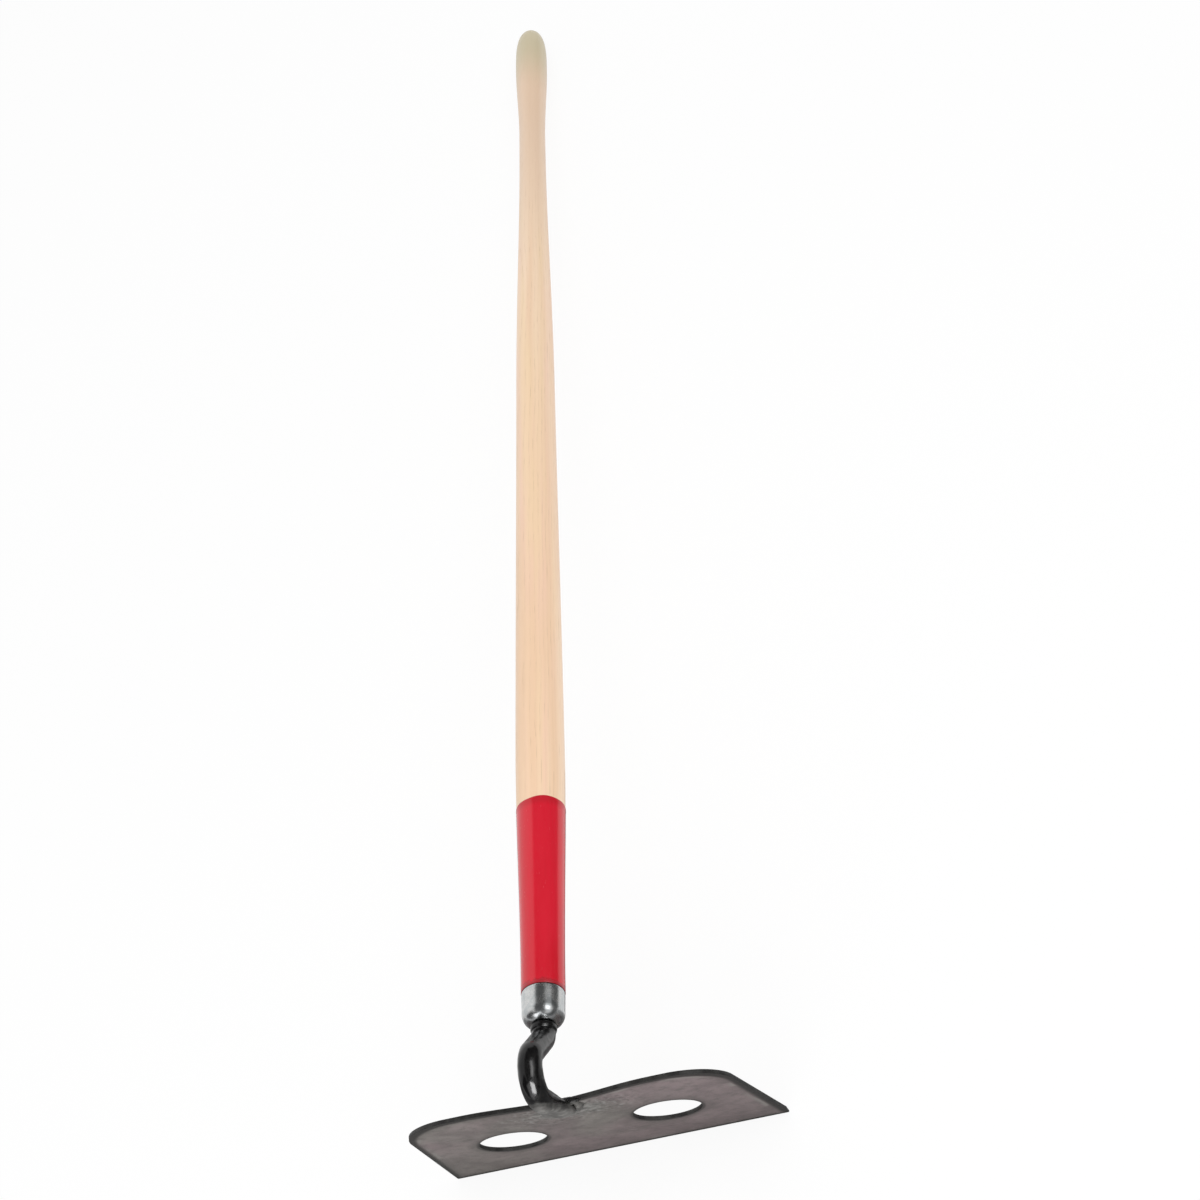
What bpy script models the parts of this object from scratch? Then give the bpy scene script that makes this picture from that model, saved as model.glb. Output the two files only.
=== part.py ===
"""Cement hoe: a turned wooden handle, a steel ferrule, a forged gooseneck shank and a plate blade with two holes.

Metres and degrees. The hoe is built about its handle: X runs across the blade, Y along the handle from the
ferrule's end to the grip, and Z away from the cutting edge. An empty then tips it on to the floor, where the
cutting edge and the underside of the grip carry it, with the origin on the floor below its middle.
"""
import math

import bmesh
import bpy
import numpy as np
from mathutils import Matrix, Vector

# Clearance between pieces that touch, and the distance below which two points count as one
GAP = 0.0003
MERGE = 0.00001

# Handle: places are measured along its axis from the ferrule's end, or back from the grip's end
HANDLE_LENGTH = 1.360
SWELL_DIAMETER = 0.0376
SWELL_AT = 0.240
BODY_DIAMETER = 0.0360
BODY_END_FROM_GRIP_END = 0.670
NECK_DIAMETER = 0.0286
NECK_START_FROM_GRIP_END = 0.280
NECK_END_FROM_GRIP_END = 0.230
GRIP_DIAMETER = 0.0362
GRIP_FROM_END = 0.077
GRIP_ROUNDNESS = 3.2

# Ferrule: a drawn cup, flush with the wood above it
FERRULE_DIAMETER = 0.0300
FERRULE_LENGTH = 0.0246
FERRULE_WALL = 0.0012
FERRULE_TAPER = 0.0003
FERRULE_DOME = 0.0088

# Tenon inside the cup: its distance from the cup's floor and its corner's chamfer, as shares of the dome
TENON_STAND_OFF = 0.35
TENON_CHAMFER = 0.75

# Tang, driven into the handle's bore, and the collar that bears on the ferrule's end
TANG_LENGTH = 0.095
TANG_ROOT_DIAMETER = 0.0115
TANG_TIP_DIAMETER = 0.0060
TANG_PARALLEL_SHARE = 0.25
BORE_SPARE_DEPTH = 0.004
COLLAR_DIAMETER = 0.0180
COLLAR_LENGTH = 0.0042
COLLAR_ROUNDING_SHARE = 0.25
COLLAR_SHOULDER_SHARE = 0.65

# Gooseneck: it leaves the collar straight, bends back, and returns under itself to the blade
ROD_DIAMETER = 0.0163
FIRST_BEND_RADIUS = 0.012
FIRST_BEND_ANGLE = 44.0
NECK_RUN = 0.0275
SECOND_BEND_RADIUS = 0.0155
RETURN_RUN = 0.0330

# Foot, forged flat and lapped on to the blade's outer face. It thins sooner than it widens
FOOT_LAP = 0.0165
FOOT_WIDTH = 0.0200
FOOT_THICKNESS = 0.0075
FOOT_TOE_THICKNESS = 0.0050
FOOT_SQUARENESS = 3.6
THINNING_LEAD = 1.15
TOE_END_SHARE = 0.14

# Blade: a plate whose sides splay towards the cutting edge
BLADE_ANGLE = 74.6
BLADE_WIDTH = 0.254
BLADE_TOP_WIDTH = 0.222
BLADE_DEPTH = 0.150
BLADE_THICKNESS = 0.003
BLADE_CORNER_RADIUS = 0.038
CREST_FROM_CENTRE = 0.066
TOP_DIP = 0.0095
HOLE_DIAMETER = 0.048
HOLE_FROM_CENTRE = 0.0565
HOLE_FROM_CREST = 0.0795
EDGE_BEVEL = 0.006
EDGE_LAND = 0.001
ARRIS = 0.0003

# Welds: each bead's centre stands off its plate by a share of its radius
FACE_BEAD_RADIUS = 0.0038
FACE_BEAD_RISE = 0.1
TOP_BEAD_RADIUS = 0.0029
TOP_BEAD_RISE = 0.2
TOP_BEAD_OVERHANG = 0.007
BEAD_RIPPLE = 0.05
BEAD_RIPPLE_PITCH = 0.0045
BEAD_END_TAPER = 0.006
BEAD_END_SHARE = 0.2
BEAD_STAND_OFF = 0.5

# Facets round each shape
TURNED_STEPS = 40
ROD_STEPS = 24
HOLE_STEPS = 48
BEAD_RESOLUTION = 2

# Facets along each shape
GRIP_END_STEPS = 14
GRIP_STEPS = 9
NECK_STEPS = 1
UPPER_BODY_STEPS = 12
BODY_STEPS = 4
SWELL_STEPS = 10
DOME_STEPS = 8
FIRST_BEND_STEPS = 6
NECK_RUN_STEPS = 2
SECOND_BEND_STEPS = 16
RETURN_STEPS = 8
TOE_STEPS = 6
TOP_EDGE_STEPS = 14
CORNER_STEPS = 12

# Angles above which an edge stays sharp or loses its arris, and below which two facets become one
CREASE_ANGLE = 35.0
ARRIS_ANGLE = 40.0
FLAT_ANGLE = 0.5

# How far a cutter reaches, in times of what it cuts, and the search for the tilt
CUTTER_REACH = 4
MOST_TILT = 30.0
TILT_ROUNDS = 60

BOTTOM_OF_FERRULE = GAP
HALF_FOOT = FOOT_THICKNESS / 2


def clear_scene():
    for thing in list(bpy.data.objects):
        bpy.data.objects.remove(thing, do_unlink=True)


def new_collection(name):
    collection = bpy.data.collections.new(name)
    bpy.context.scene.collection.children.link(collection)
    return collection


def new_material(name, colour, roughness, metallic):
    material = bpy.data.materials.new(name)
    material.use_nodes = True
    shader = material.node_tree.nodes["Principled BSDF"]
    shader.inputs["Base Color"].default_value = (*colour, 1.0)
    shader.inputs["Roughness"].default_value = roughness
    shader.inputs["Metallic"].default_value = metallic
    return material


def add_object(name, data, collection, parent, material=None):
    thing = bpy.data.objects.new(name, data)
    collection.objects.link(thing)
    thing.parent = parent
    if material is not None:
        data.materials.append(material)
    return thing


def add_cutter(name, data, collection, parent):
    cutter = add_object(name, data, collection, parent)
    cutter.hide_render = True
    cutter.display_type = "WIRE"
    return cutter


def cut(thing, cutter):
    boolean = thing.modifiers.new("cut by " + cutter.name, "BOOLEAN")
    boolean.operation = "DIFFERENCE"
    boolean.solver = "EXACT"
    boolean.object = cutter


def mesh_from(bm, name):
    mesh = bpy.data.meshes.new(name)
    bm.to_mesh(mesh)
    bm.free()
    return mesh


def ease(start, end, share):
    """A smooth step between two values."""
    return start + (end - start) * share * share * (3 - 2 * share)


def squared(value, squareness):
    """A unit circle's coordinate moved on to a superellipse, which is the same circle at a squareness of two."""
    return math.copysign(abs(value) ** (2 / squareness), value)


# Turned pieces

def turned_mesh(name, profile):
    """A profile of (radius, height) points, run down its outer side."""
    bm = bmesh.new()
    points = [bm.verts.new((radius, 0, height)) for radius, height in profile]
    for upper, lower in zip(points, points[1:]):
        bm.edges.new((upper, lower))
    return mesh_from(bm, name)


def turn(thing, wall=0):
    """Spins the profile about its axis, thickens it inwards where it is a shell, and lays it along the handle."""
    screw = thing.modifiers.new("turned", "SCREW")
    screw.axis = "Z"
    screw.steps = TURNED_STEPS
    screw.render_steps = TURNED_STEPS
    screw.use_merge_vertices = True
    screw.merge_threshold = MERGE
    screw.use_smooth_shade = True
    if wall:
        shell = thing.modifiers.new("wall", "SOLIDIFY")
        shell.thickness = wall
        shell.offset = -1
        shell.use_even_offset = True
    thing.rotation_euler = (math.radians(-90), 0, 0)
    keep_shape(thing)
    thing.data.set_sharp_from_angle(angle=math.radians(CREASE_ANGLE))


def keep_shape(thing):
    """Replaces an object's mesh by what its modifiers make of it."""
    bpy.context.view_layer.update()
    seen = thing.evaluated_get(bpy.context.evaluated_depsgraph_get())
    shape = bpy.data.meshes.new_from_object(seen)
    profile = thing.data
    thing.modifiers.clear()
    thing.data = shape
    bpy.data.meshes.remove(profile)
    shape.name = thing.name


def handle_radius(place):
    """The pole's radius at a place along its axis, above the ferrule and below the grip's swell."""
    stations = (
        (FERRULE_LENGTH, FERRULE_DIAMETER),
        (SWELL_AT, SWELL_DIAMETER),
        (HANDLE_LENGTH - BODY_END_FROM_GRIP_END, BODY_DIAMETER),
        (HANDLE_LENGTH - NECK_START_FROM_GRIP_END, NECK_DIAMETER),
        (HANDLE_LENGTH - NECK_END_FROM_GRIP_END, NECK_DIAMETER),
        (HANDLE_LENGTH - GRIP_FROM_END, GRIP_DIAMETER),
    )
    for (start, wide), (end, wide_after) in zip(stations, stations[1:]):
        if place <= end:
            return ease(wide, wide_after, (place - start) / (end - start)) / 2
    return GRIP_DIAMETER / 2


def grip_end():
    """The rounded end, as points from just off the axis outwards."""
    for step in range(1, GRIP_END_STEPS):
        angle = math.radians(90) * (1 - step / GRIP_END_STEPS)
        out = squared(math.cos(angle), GRIP_ROUNDNESS)
        along = squared(math.sin(angle), GRIP_ROUNDNESS)
        yield GRIP_DIAMETER / 2 * out, HANDLE_LENGTH - GRIP_FROM_END * (1 - along)


def make_handle(collection, parent, material):
    tenon_radius = FERRULE_DIAMETER / 2 - FERRULE_WALL - GAP - FERRULE_TAPER
    bore_radius = TANG_ROOT_DIAMETER / 2 + GAP
    bore_depth = TANG_LENGTH + BORE_SPARE_DEPTH
    end_face = BOTTOM_OF_FERRULE + FERRULE_WALL + FERRULE_DOME * TENON_STAND_OFF
    chamfer = FERRULE_DOME * TENON_CHAMFER
    rim = FERRULE_LENGTH + GAP

    breaks = (
        (HANDLE_LENGTH - GRIP_FROM_END, GRIP_STEPS),
        (HANDLE_LENGTH - NECK_END_FROM_GRIP_END, NECK_STEPS),
        (HANDLE_LENGTH - NECK_START_FROM_GRIP_END, UPPER_BODY_STEPS),
        (HANDLE_LENGTH - BODY_END_FROM_GRIP_END, BODY_STEPS),
        (SWELL_AT, SWELL_STEPS),
        (rim, 0),
    )
    profile = [(0, HANDLE_LENGTH), *grip_end()]
    for (start, steps), (end, _) in zip(breaks, breaks[1:]):
        for step in range(steps):
            place = start + (end - start) * step / steps
            profile.append((handle_radius(place), place))
    profile.append((handle_radius(rim), rim))
    profile.append((tenon_radius, rim))
    profile.append((tenon_radius, end_face + chamfer))
    profile.append((tenon_radius - chamfer / 2, end_face))
    profile.append((bore_radius, end_face))
    profile.append((bore_radius, bore_depth - bore_radius))
    profile.append((0, bore_depth))

    handle = add_object("handle", turned_mesh("handle", profile), collection, parent, material)
    turn(handle)


def make_ferrule(collection, parent, material):
    """The outer surface, from the rim round the dome to the hole, thickened inwards."""
    rim_radius = FERRULE_DIAMETER / 2
    end_radius = rim_radius - FERRULE_TAPER
    hole_radius = TANG_ROOT_DIAMETER / 2 + GAP
    profile = [(rim_radius, FERRULE_LENGTH)]
    for step in range(DOME_STEPS + 1):
        angle = math.radians(90) * step / DOME_STEPS
        radius = end_radius - FERRULE_DOME * (1 - math.cos(angle))
        height = BOTTOM_OF_FERRULE + FERRULE_DOME * (1 - math.sin(angle))
        profile.append((max(radius, hole_radius), height))
    if profile[-1][0] > hole_radius + MERGE:
        profile.append((hole_radius, BOTTOM_OF_FERRULE))

    ferrule = add_object("ferrule", turned_mesh("ferrule", profile), collection, parent, material)
    turn(ferrule, FERRULE_WALL)


# Forged shank

def rod_segments():
    """The centre line as (length, turn) pieces, from the collar's upper face to the toe."""
    first = math.radians(FIRST_BEND_ANGLE)
    second = first + math.radians(180 - BLADE_ANGLE)
    return (
        (COLLAR_LENGTH, 0),
        (FIRST_BEND_RADIUS * first, -first),
        (NECK_RUN, 0),
        (SECOND_BEND_RADIUS * second, second),
        (RETURN_RUN, 0),
        (FOOT_LAP, 0),
    )


def centre_line(travel):
    """Place and heading at a distance along the rod. Distances before the collar lie in the tang."""
    place = Vector((0, 0, 0))
    heading = Vector((0, -1, 0))
    if travel <= 0:
        return heading * travel, heading
    for length, turn_by in rod_segments():
        done = min(travel, length)
        angle = turn_by * done / length
        if turn_by:
            radius = length / turn_by
            side = Vector((0, -heading.z, heading.y))
            place += radius * (heading * math.sin(angle) + side * (1 - math.cos(angle)))
        else:
            place += heading * done
        heading = Matrix.Rotation(angle, 3, "X") @ heading
        travel -= done
        if travel <= 0:
            break
    return place, heading


def return_start():
    """The distance at which the gooseneck has come round to the blade's own direction."""
    return sum(length for length, _ in rod_segments()[:4])


def round_section(radius):
    return radius, radius, 2, 0


def rod_section(travel):
    """Half width, half thickness, squareness and drop towards the blade, at a distance past the collar."""
    rod = ROD_DIAMETER / 2
    start = return_start()
    if travel <= start:
        return round_section(rod)
    lap = start + RETURN_RUN
    if travel <= lap:
        flatten = (travel - start) / RETURN_RUN
        half_width = ease(rod, FOOT_WIDTH / 2, flatten)
        half_thick = ease(rod, HALF_FOOT, min(1, flatten * THINNING_LEAD))
        return half_width, half_thick, ease(2, FOOT_SQUARENESS, flatten), 0
    half_thick = ease(HALF_FOOT, FOOT_TOE_THICKNESS / 2, (travel - lap) / FOOT_LAP)
    toe = FOOT_WIDTH / 2
    into_toe = max(0, travel - (lap + FOOT_LAP - toe)) / toe
    half_width = toe * max(TOE_END_SHARE, math.sqrt(max(0, 1 - into_toe ** 2)))
    return half_width, half_thick, FOOT_SQUARENESS, HALF_FOOT - half_thick


def shank_stations():
    """Distances along the rod and its section at each, from the tang's tip to the toe."""
    root = TANG_ROOT_DIAMETER / 2
    tip = TANG_TIP_DIAMETER / 2
    collar = COLLAR_DIAMETER / 2
    rod = ROD_DIAMETER / 2
    yield -TANG_LENGTH, round_section(tip / 2)
    yield -TANG_LENGTH + tip, round_section(tip)
    yield -TANG_LENGTH * TANG_PARALLEL_SHARE, round_section(root)
    yield 0, round_section(root)
    rounding = COLLAR_LENGTH * COLLAR_ROUNDING_SHARE
    for angle in (0, math.radians(45), math.radians(90)):
        edge = collar - rounding * (1 - math.sin(angle))
        yield rounding * (1 - math.cos(angle)), round_section(edge)
    yield COLLAR_LENGTH - rounding, round_section(collar)
    yield COLLAR_LENGTH, round_section(rod + (collar - rod) * COLLAR_SHOULDER_SHARE)

    travel = COLLAR_LENGTH
    counts = (FIRST_BEND_STEPS, NECK_RUN_STEPS, SECOND_BEND_STEPS, RETURN_STEPS)
    for (length, _), steps in zip(rod_segments()[1:], counts):
        for step in range(1, steps + 1):
            at = travel + length * step / steps
            yield at, rod_section(at)
        travel += length
    travel += FOOT_LAP - FOOT_WIDTH / 2
    yield travel, rod_section(travel)
    for step in range(1, TOE_STEPS + 1):
        at = travel + FOOT_WIDTH / 2 * math.sin(math.radians(90) * step / TOE_STEPS)
        yield at, rod_section(at)


def loft_rod(name, grow):
    """A skin over superellipse sections along the centre line, grown by a clearance where it is a cutter."""
    bm = bmesh.new()
    across = Vector((1, 0, 0))
    rings = []
    for travel, (half_width, half_thick, squareness, drop) in shank_stations():
        place, heading = centre_line(travel)
        outward = Vector((0, heading.z, -heading.y))
        place -= outward * drop
        ring = []
        for step in range(ROD_STEPS):
            angle = math.radians(360) * step / ROD_STEPS
            sideways = (half_width + grow) * squared(math.cos(angle), squareness)
            through = (half_thick + grow) * squared(math.sin(angle), squareness)
            ring.append(bm.verts.new(place + across * sideways + outward * through))
        rings.append(ring)
    for ring, after in zip(rings, rings[1:]):
        for step in range(ROD_STEPS):
            step_on = (step + 1) % ROD_STEPS
            bm.faces.new((ring[step], ring[step_on], after[step_on], after[step]))
    bm.faces.new(list(reversed(rings[0])))
    bm.faces.new(rings[-1])
    bmesh.ops.recalc_face_normals(bm, faces=bm.faces)
    for face in bm.faces:
        face.smooth = True
    mesh = mesh_from(bm, name)
    mesh.set_sharp_from_angle(angle=math.radians(CREASE_ANGLE))
    return mesh


# Blade, in its own frame: X across, Y up from the crests, Z out of the outer face

def top_edge(across):
    """Height of the top edge below the crests, which dips between them."""
    if abs(across) >= CREST_FROM_CENTRE:
        return 0
    return -TOP_DIP * (1 + math.cos(math.pi * across / CREST_FROM_CENTRE)) / 2


def blade_outline(grow):
    """The whole outline, clockwise from the middle of the top edge, grown all round by a clearance."""
    lean = math.atan2((BLADE_WIDTH - BLADE_TOP_WIDTH) / 2, BLADE_DEPTH)
    radius = BLADE_CORNER_RADIUS
    centre_x = BLADE_TOP_WIDTH / 2 - radius / math.cos(lean) + radius * math.tan(lean)
    half = []
    for step in range(TOP_EDGE_STEPS + 1):
        across = CREST_FROM_CENTRE * step / TOP_EDGE_STEPS
        half.append((across, top_edge(across) + grow))
    for step in range(CORNER_STEPS + 1):
        angle = math.radians(90) + (lean - math.radians(90)) * step / CORNER_STEPS
        x = centre_x + (radius + grow) * math.cos(angle)
        half.append((x, (radius + grow) * math.sin(angle) - radius))
    bottom = -BLADE_DEPTH - grow
    half.append((BLADE_TOP_WIDTH / 2 + grow / math.cos(lean) - bottom * math.tan(lean), bottom))
    return half + [(-across, up) for across, up in reversed(half[1:])]


def plate_mesh(name, outline, thickness):
    """A flat plate cut from an outline, with its outer face at Z = 0."""
    curve = bpy.data.curves.new(name + " outline", "CURVE")
    curve.dimensions = "2D"
    curve.fill_mode = "BOTH"
    curve.extrude = thickness / 2
    spline = curve.splines.new("POLY")
    spline.points.add(len(outline) - 1)
    for point, (across, up) in zip(spline.points, outline):
        point.co = (across, up, 0, 1)
    spline.use_cyclic_u = True
    mesh = mesh_from_curve(curve, name)
    mesh.transform(Matrix.Translation((0, 0, -thickness / 2)))
    return mesh


def mesh_from_curve(curve, name):
    """A curve's evaluated shape as one closed mesh. The curve is removed."""
    maker = bpy.data.objects.new(name + " maker", curve)
    bpy.context.scene.collection.objects.link(maker)
    bpy.context.view_layer.update()
    seen = maker.evaluated_get(bpy.context.evaluated_depsgraph_get())
    mesh = bpy.data.meshes.new_from_object(seen)
    mesh.name = name
    bpy.data.objects.remove(maker, do_unlink=True)
    bpy.data.curves.remove(curve)
    bm = bmesh.new()
    bm.from_mesh(mesh)
    bmesh.ops.remove_doubles(bm, verts=bm.verts, dist=MERGE)
    flat = math.radians(FLAT_ANGLE)
    bmesh.ops.dissolve_limit(bm, angle_limit=flat, verts=bm.verts, edges=bm.edges)
    bmesh.ops.recalc_face_normals(bm, faces=bm.faces)
    bm.to_mesh(mesh)
    bm.free()
    return mesh


def blade_matrix():
    """The blade's place. Its outer face meets the foot, and its top edge lies where the return run ends."""
    start, heading = centre_line(return_start())
    turned = Matrix.Rotation(math.radians(180 - BLADE_ANGLE), 4, "X")
    outward = turned.to_3x3() @ Vector((0, 0, 1))
    origin = start + heading * (RETURN_RUN - TOP_DIP) - outward * (HALF_FOOT + GAP)
    return Matrix.Translation(origin) @ turned


def drill_hole(blade, side, across, cutters, parent):
    name = side + "_hole_cutter"
    bm = bmesh.new()
    bmesh.ops.create_cone(
        bm, cap_ends=True, segments=HOLE_STEPS, radius1=HOLE_DIAMETER / 2, radius2=HOLE_DIAMETER / 2,
        depth=BLADE_THICKNESS * CUTTER_REACH)
    drill = add_cutter(name, mesh_from(bm, name), cutters, parent)
    drill.matrix_local = blade_matrix() @ Matrix.Translation((across, -HOLE_FROM_CREST, 0))
    cut(blade, drill)


def grind_edge(blade, cutters, parent):
    """Cuts the inner face back to the land at the cutting edge."""
    slope = math.atan2(BLADE_THICKNESS - EDGE_LAND, EDGE_BEVEL)
    size = EDGE_BEVEL * CUTTER_REACH
    bm = bmesh.new()
    bmesh.ops.create_cube(bm, size=1)
    bmesh.ops.scale(bm, vec=(BLADE_WIDTH + size, size, size), verts=bm.verts)
    bmesh.ops.translate(bm, vec=(0, 0, -size / 2), verts=bm.verts)
    grinder = add_cutter("edge_cutter", mesh_from(bm, "edge_cutter"), cutters, parent)
    land = Matrix.Translation((0, -BLADE_DEPTH, -EDGE_LAND))
    grinder.matrix_local = blade_matrix() @ land @ Matrix.Rotation(-slope, 4, "X")
    cut(blade, grinder)


def make_blade(collection, cutters, parent, material):
    plate = plate_mesh("blade", blade_outline(0), BLADE_THICKNESS)
    blade = add_object("blade", plate, collection, parent, material)
    blade.matrix_local = blade_matrix()
    drill_hole(blade, "left", -HOLE_FROM_CENTRE, cutters, parent)
    drill_hole(blade, "right", HOLE_FROM_CENTRE, cutters, parent)
    grind_edge(blade, cutters, parent)

    arris = blade.modifiers.new("broken edges", "BEVEL")
    arris.width = ARRIS
    arris.segments = 1
    arris.limit_method = "ANGLE"
    arris.angle_limit = math.radians(ARRIS_ANGLE)


# Welds, in the blade's frame

def bead_mesh(name, route, radius):
    """A round bead along a route, with a ripple that stands for its passes."""
    curve = bpy.data.curves.new(name + " route", "CURVE")
    curve.dimensions = "3D"
    curve.bevel_depth = radius
    curve.bevel_resolution = BEAD_RESOLUTION
    curve.use_fill_caps = True
    spline = curve.splines.new("POLY")
    spline.points.add(len(route) - 1)
    steps = [math.dist(here, after) for here, after in zip(route, route[1:])]
    for number, (point, place) in enumerate(zip(spline.points, route)):
        from_end = min(sum(steps[:number]), sum(steps[number:]))
        taper = math.sqrt(min(1, BEAD_END_SHARE + from_end / BEAD_END_TAPER))
        point.co = (*place, 1)
        point.radius = (1 + BEAD_RIPPLE * (-1) ** number) * taper
    return mesh_from_curve(curve, name)


def ripple_steps(length):
    """Points along a length of bead, two to each ripple."""
    return max(1, round(length / (BEAD_RIPPLE_PITCH / 2)))


def face_bead_route():
    """Down one side of the foot, round its toe and up the other, on the blade's outer face."""
    half = FOOT_WIDTH / 2 + FACE_BEAD_RADIUS * BEAD_STAND_OFF
    top = -TOP_DIP - TOP_BEAD_RADIUS - 2 * GAP
    toe = -TOP_DIP - FOOT_LAP + FOOT_WIDTH / 2
    height = FACE_BEAD_RADIUS * FACE_BEAD_RISE
    side_steps = ripple_steps(top - toe)
    toe_steps = ripple_steps(math.pi * half)
    route = [(-half, top + (toe - top) * step / side_steps, height) for step in range(side_steps)]
    for step in range(toe_steps + 1):
        angle = math.pi + math.pi * step / toe_steps
        route.append((half * math.cos(angle), toe + half * math.sin(angle), height))
    for step in range(1, side_steps + 1):
        route.append((half, toe + (top - toe) * step / side_steps, height))
    return route


def top_bead_route():
    """Along the blade's top edge, across the inner side of the shank and a little past it on both sides."""
    reach = FOOT_WIDTH / 2 + TOP_BEAD_OVERHANG
    rise = TOP_BEAD_RADIUS * TOP_BEAD_RISE
    flush_with_inner_face = TOP_BEAD_RADIUS * (1 + BEAD_RIPPLE) - BLADE_THICKNESS
    steps = ripple_steps(2 * reach)
    route = []
    for step in range(steps + 1):
        across = -reach + 2 * reach * step / steps
        route.append((across, top_edge(across) + rise, flush_with_inner_face))
    return route


def make_welds(collection, cutters, parent, material):
    """Both beads, with the shank's and the blade's own space cut out of them."""
    shank_space = add_cutter("shank_space", loft_rod("shank_space", GAP), cutters, parent)
    deep = BLADE_THICKNESS + GAP + 2 * FACE_BEAD_RADIUS
    plate_space = plate_mesh("blade_space", blade_outline(GAP), deep)
    blade_space = add_cutter("blade_space", plate_space, cutters, parent)
    blade_space.matrix_local = blade_matrix() @ Matrix.Translation((0, 0, GAP))
    beads = (
        ("weld_face_bead", face_bead_route(), FACE_BEAD_RADIUS),
        ("weld_top_bead", top_bead_route(), TOP_BEAD_RADIUS),
    )
    for name, route, radius in beads:
        bead = add_object(name, bead_mesh(name, route, radius), collection, parent, material)
        bead.matrix_local = blade_matrix()
        cut(bead, blade_space)
        cut(bead, shank_space)


# Placing

def world_points(thing):
    seen = thing.evaluated_get(bpy.context.evaluated_depsgraph_get())
    mesh = seen.to_mesh()
    points = np.array([thing.matrix_world @ vertex.co for vertex in mesh.vertices])
    seen.to_mesh_clear()
    return points


def lay_on_floor(stand, collection):
    """Tips the empty until blade and grip touch the floor together, and centres it over its box's bottom."""
    bpy.context.view_layer.update()
    head = world_points(collection.objects["blade"])
    pole = world_points(collection.objects["handle"])
    low, high = 0.0, math.radians(MOST_TILT)
    for _ in range(TILT_ROUNDS):
        tilt = (low + high) / 2
        head_low = (head[:, 2] * math.cos(tilt) - head[:, 1] * math.sin(tilt)).min()
        pole_low = (pole[:, 2] * math.cos(tilt) - pole[:, 1] * math.sin(tilt)).min()
        if head_low < pole_low:
            low = tilt
        else:
            high = tilt
    stand.rotation_euler = (-tilt, 0, 0)
    bpy.context.view_layer.update()
    everything = np.concatenate([world_points(thing) for thing in collection.objects])
    least, most = everything.min(axis=0), everything.max(axis=0)
    stand.location = (0, -(least[1] + most[1]) / 2, -least[2])
    bpy.context.view_layer.update()


def main():
    clear_scene()
    hoe = new_collection("cement_hoe")
    cutters = new_collection("cutters")
    stand = bpy.data.objects.new("hoe_stand", None)
    bpy.context.scene.collection.objects.link(stand)

    wood = new_material("ash_wood", (0.80, 0.62, 0.42), 0.45, 0.0)
    zinc = new_material("zinc_plate", (0.62, 0.63, 0.64), 0.25, 1.0)
    forging = new_material("black_forging", (0.015, 0.015, 0.016), 0.25, 0.0)
    plate = new_material("grey_plate", (0.17, 0.15, 0.145), 0.5, 0.3)
    weld = new_material("weld_metal", (0.10, 0.10, 0.10), 0.4, 0.4)

    make_handle(hoe, stand, wood)
    make_ferrule(hoe, stand, zinc)
    add_object("shank", loft_rod("shank", 0), hoe, stand, forging)
    make_blade(hoe, cutters, stand, plate)
    make_welds(hoe, cutters, stand, weld)
    lay_on_floor(stand, hoe)


main()
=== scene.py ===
import math

import bmesh
import bpy
import numpy as np
from mathutils import Matrix, Vector, noise


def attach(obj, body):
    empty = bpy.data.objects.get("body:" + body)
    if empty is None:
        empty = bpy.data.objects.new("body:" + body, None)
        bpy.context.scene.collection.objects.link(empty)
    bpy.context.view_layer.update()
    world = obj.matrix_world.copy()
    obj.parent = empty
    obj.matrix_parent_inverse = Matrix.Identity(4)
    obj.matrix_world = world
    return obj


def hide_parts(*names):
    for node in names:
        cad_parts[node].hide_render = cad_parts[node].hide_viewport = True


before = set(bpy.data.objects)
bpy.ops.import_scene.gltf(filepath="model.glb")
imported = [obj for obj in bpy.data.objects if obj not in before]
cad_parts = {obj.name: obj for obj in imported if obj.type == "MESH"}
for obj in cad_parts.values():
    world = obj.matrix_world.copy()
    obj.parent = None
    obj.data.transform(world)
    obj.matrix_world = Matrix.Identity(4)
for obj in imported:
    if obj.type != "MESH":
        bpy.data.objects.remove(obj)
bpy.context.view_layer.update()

# The hoe's own frame: X across the blade, Y along the handle from the ferrule's end, Z away from the edge
HOE_TILT = -0.1058084
HOE_PLACE = (0, -0.6436406, 0.1572019)
HOE = Matrix.Translation(HOE_PLACE) @ Matrix.Rotation(HOE_TILT, 4, "X")

# Sizes, which are those of the solids
HANDLE_LENGTH = 1.360
SWELL_DIAMETER, SWELL_AT = 0.0376, 0.240
BODY_DIAMETER, BODY_END = 0.0360, HANDLE_LENGTH - 0.670
NECK_DIAMETER = 0.0286
NECK_START, NECK_END = HANDLE_LENGTH - 0.280, HANDLE_LENGTH - 0.230
GRIP_DIAMETER, GRIP_LENGTH, GRIP_ROUNDNESS = 0.0362, 0.077, 3.2
FERRULE_DIAMETER, FERRULE_LENGTH, FERRULE_WALL = 0.0300, 0.0246, 0.0012
FERRULE_TAPER, FERRULE_DOME = 0.0003, 0.0088
TANG_DIAMETER = 0.0115
COLLAR_DIAMETER, COLLAR_LENGTH, COLLAR_ROUNDING = 0.0180, 0.0042, 0.00105
ROD_DIAMETER = 0.0163
FIRST_BEND_RADIUS, FIRST_BEND_ANGLE, NECK_RUN = 0.012, math.radians(44), 0.0275
SECOND_BEND_RADIUS, RETURN_RUN = 0.0155, 0.0330
FOOT_LAP, FOOT_WIDTH, FOOT_THICKNESS, TOE_THICKNESS = 0.0165, 0.0200, 0.0075, 0.0050
FOOT_SQUARENESS = 3.6
BLADE_ANGLE = math.radians(74.6)
BLADE_WIDTH, BLADE_TOP_WIDTH, BLADE_DEPTH, BLADE_THICKNESS = 0.254, 0.222, 0.150, 0.003
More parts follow.
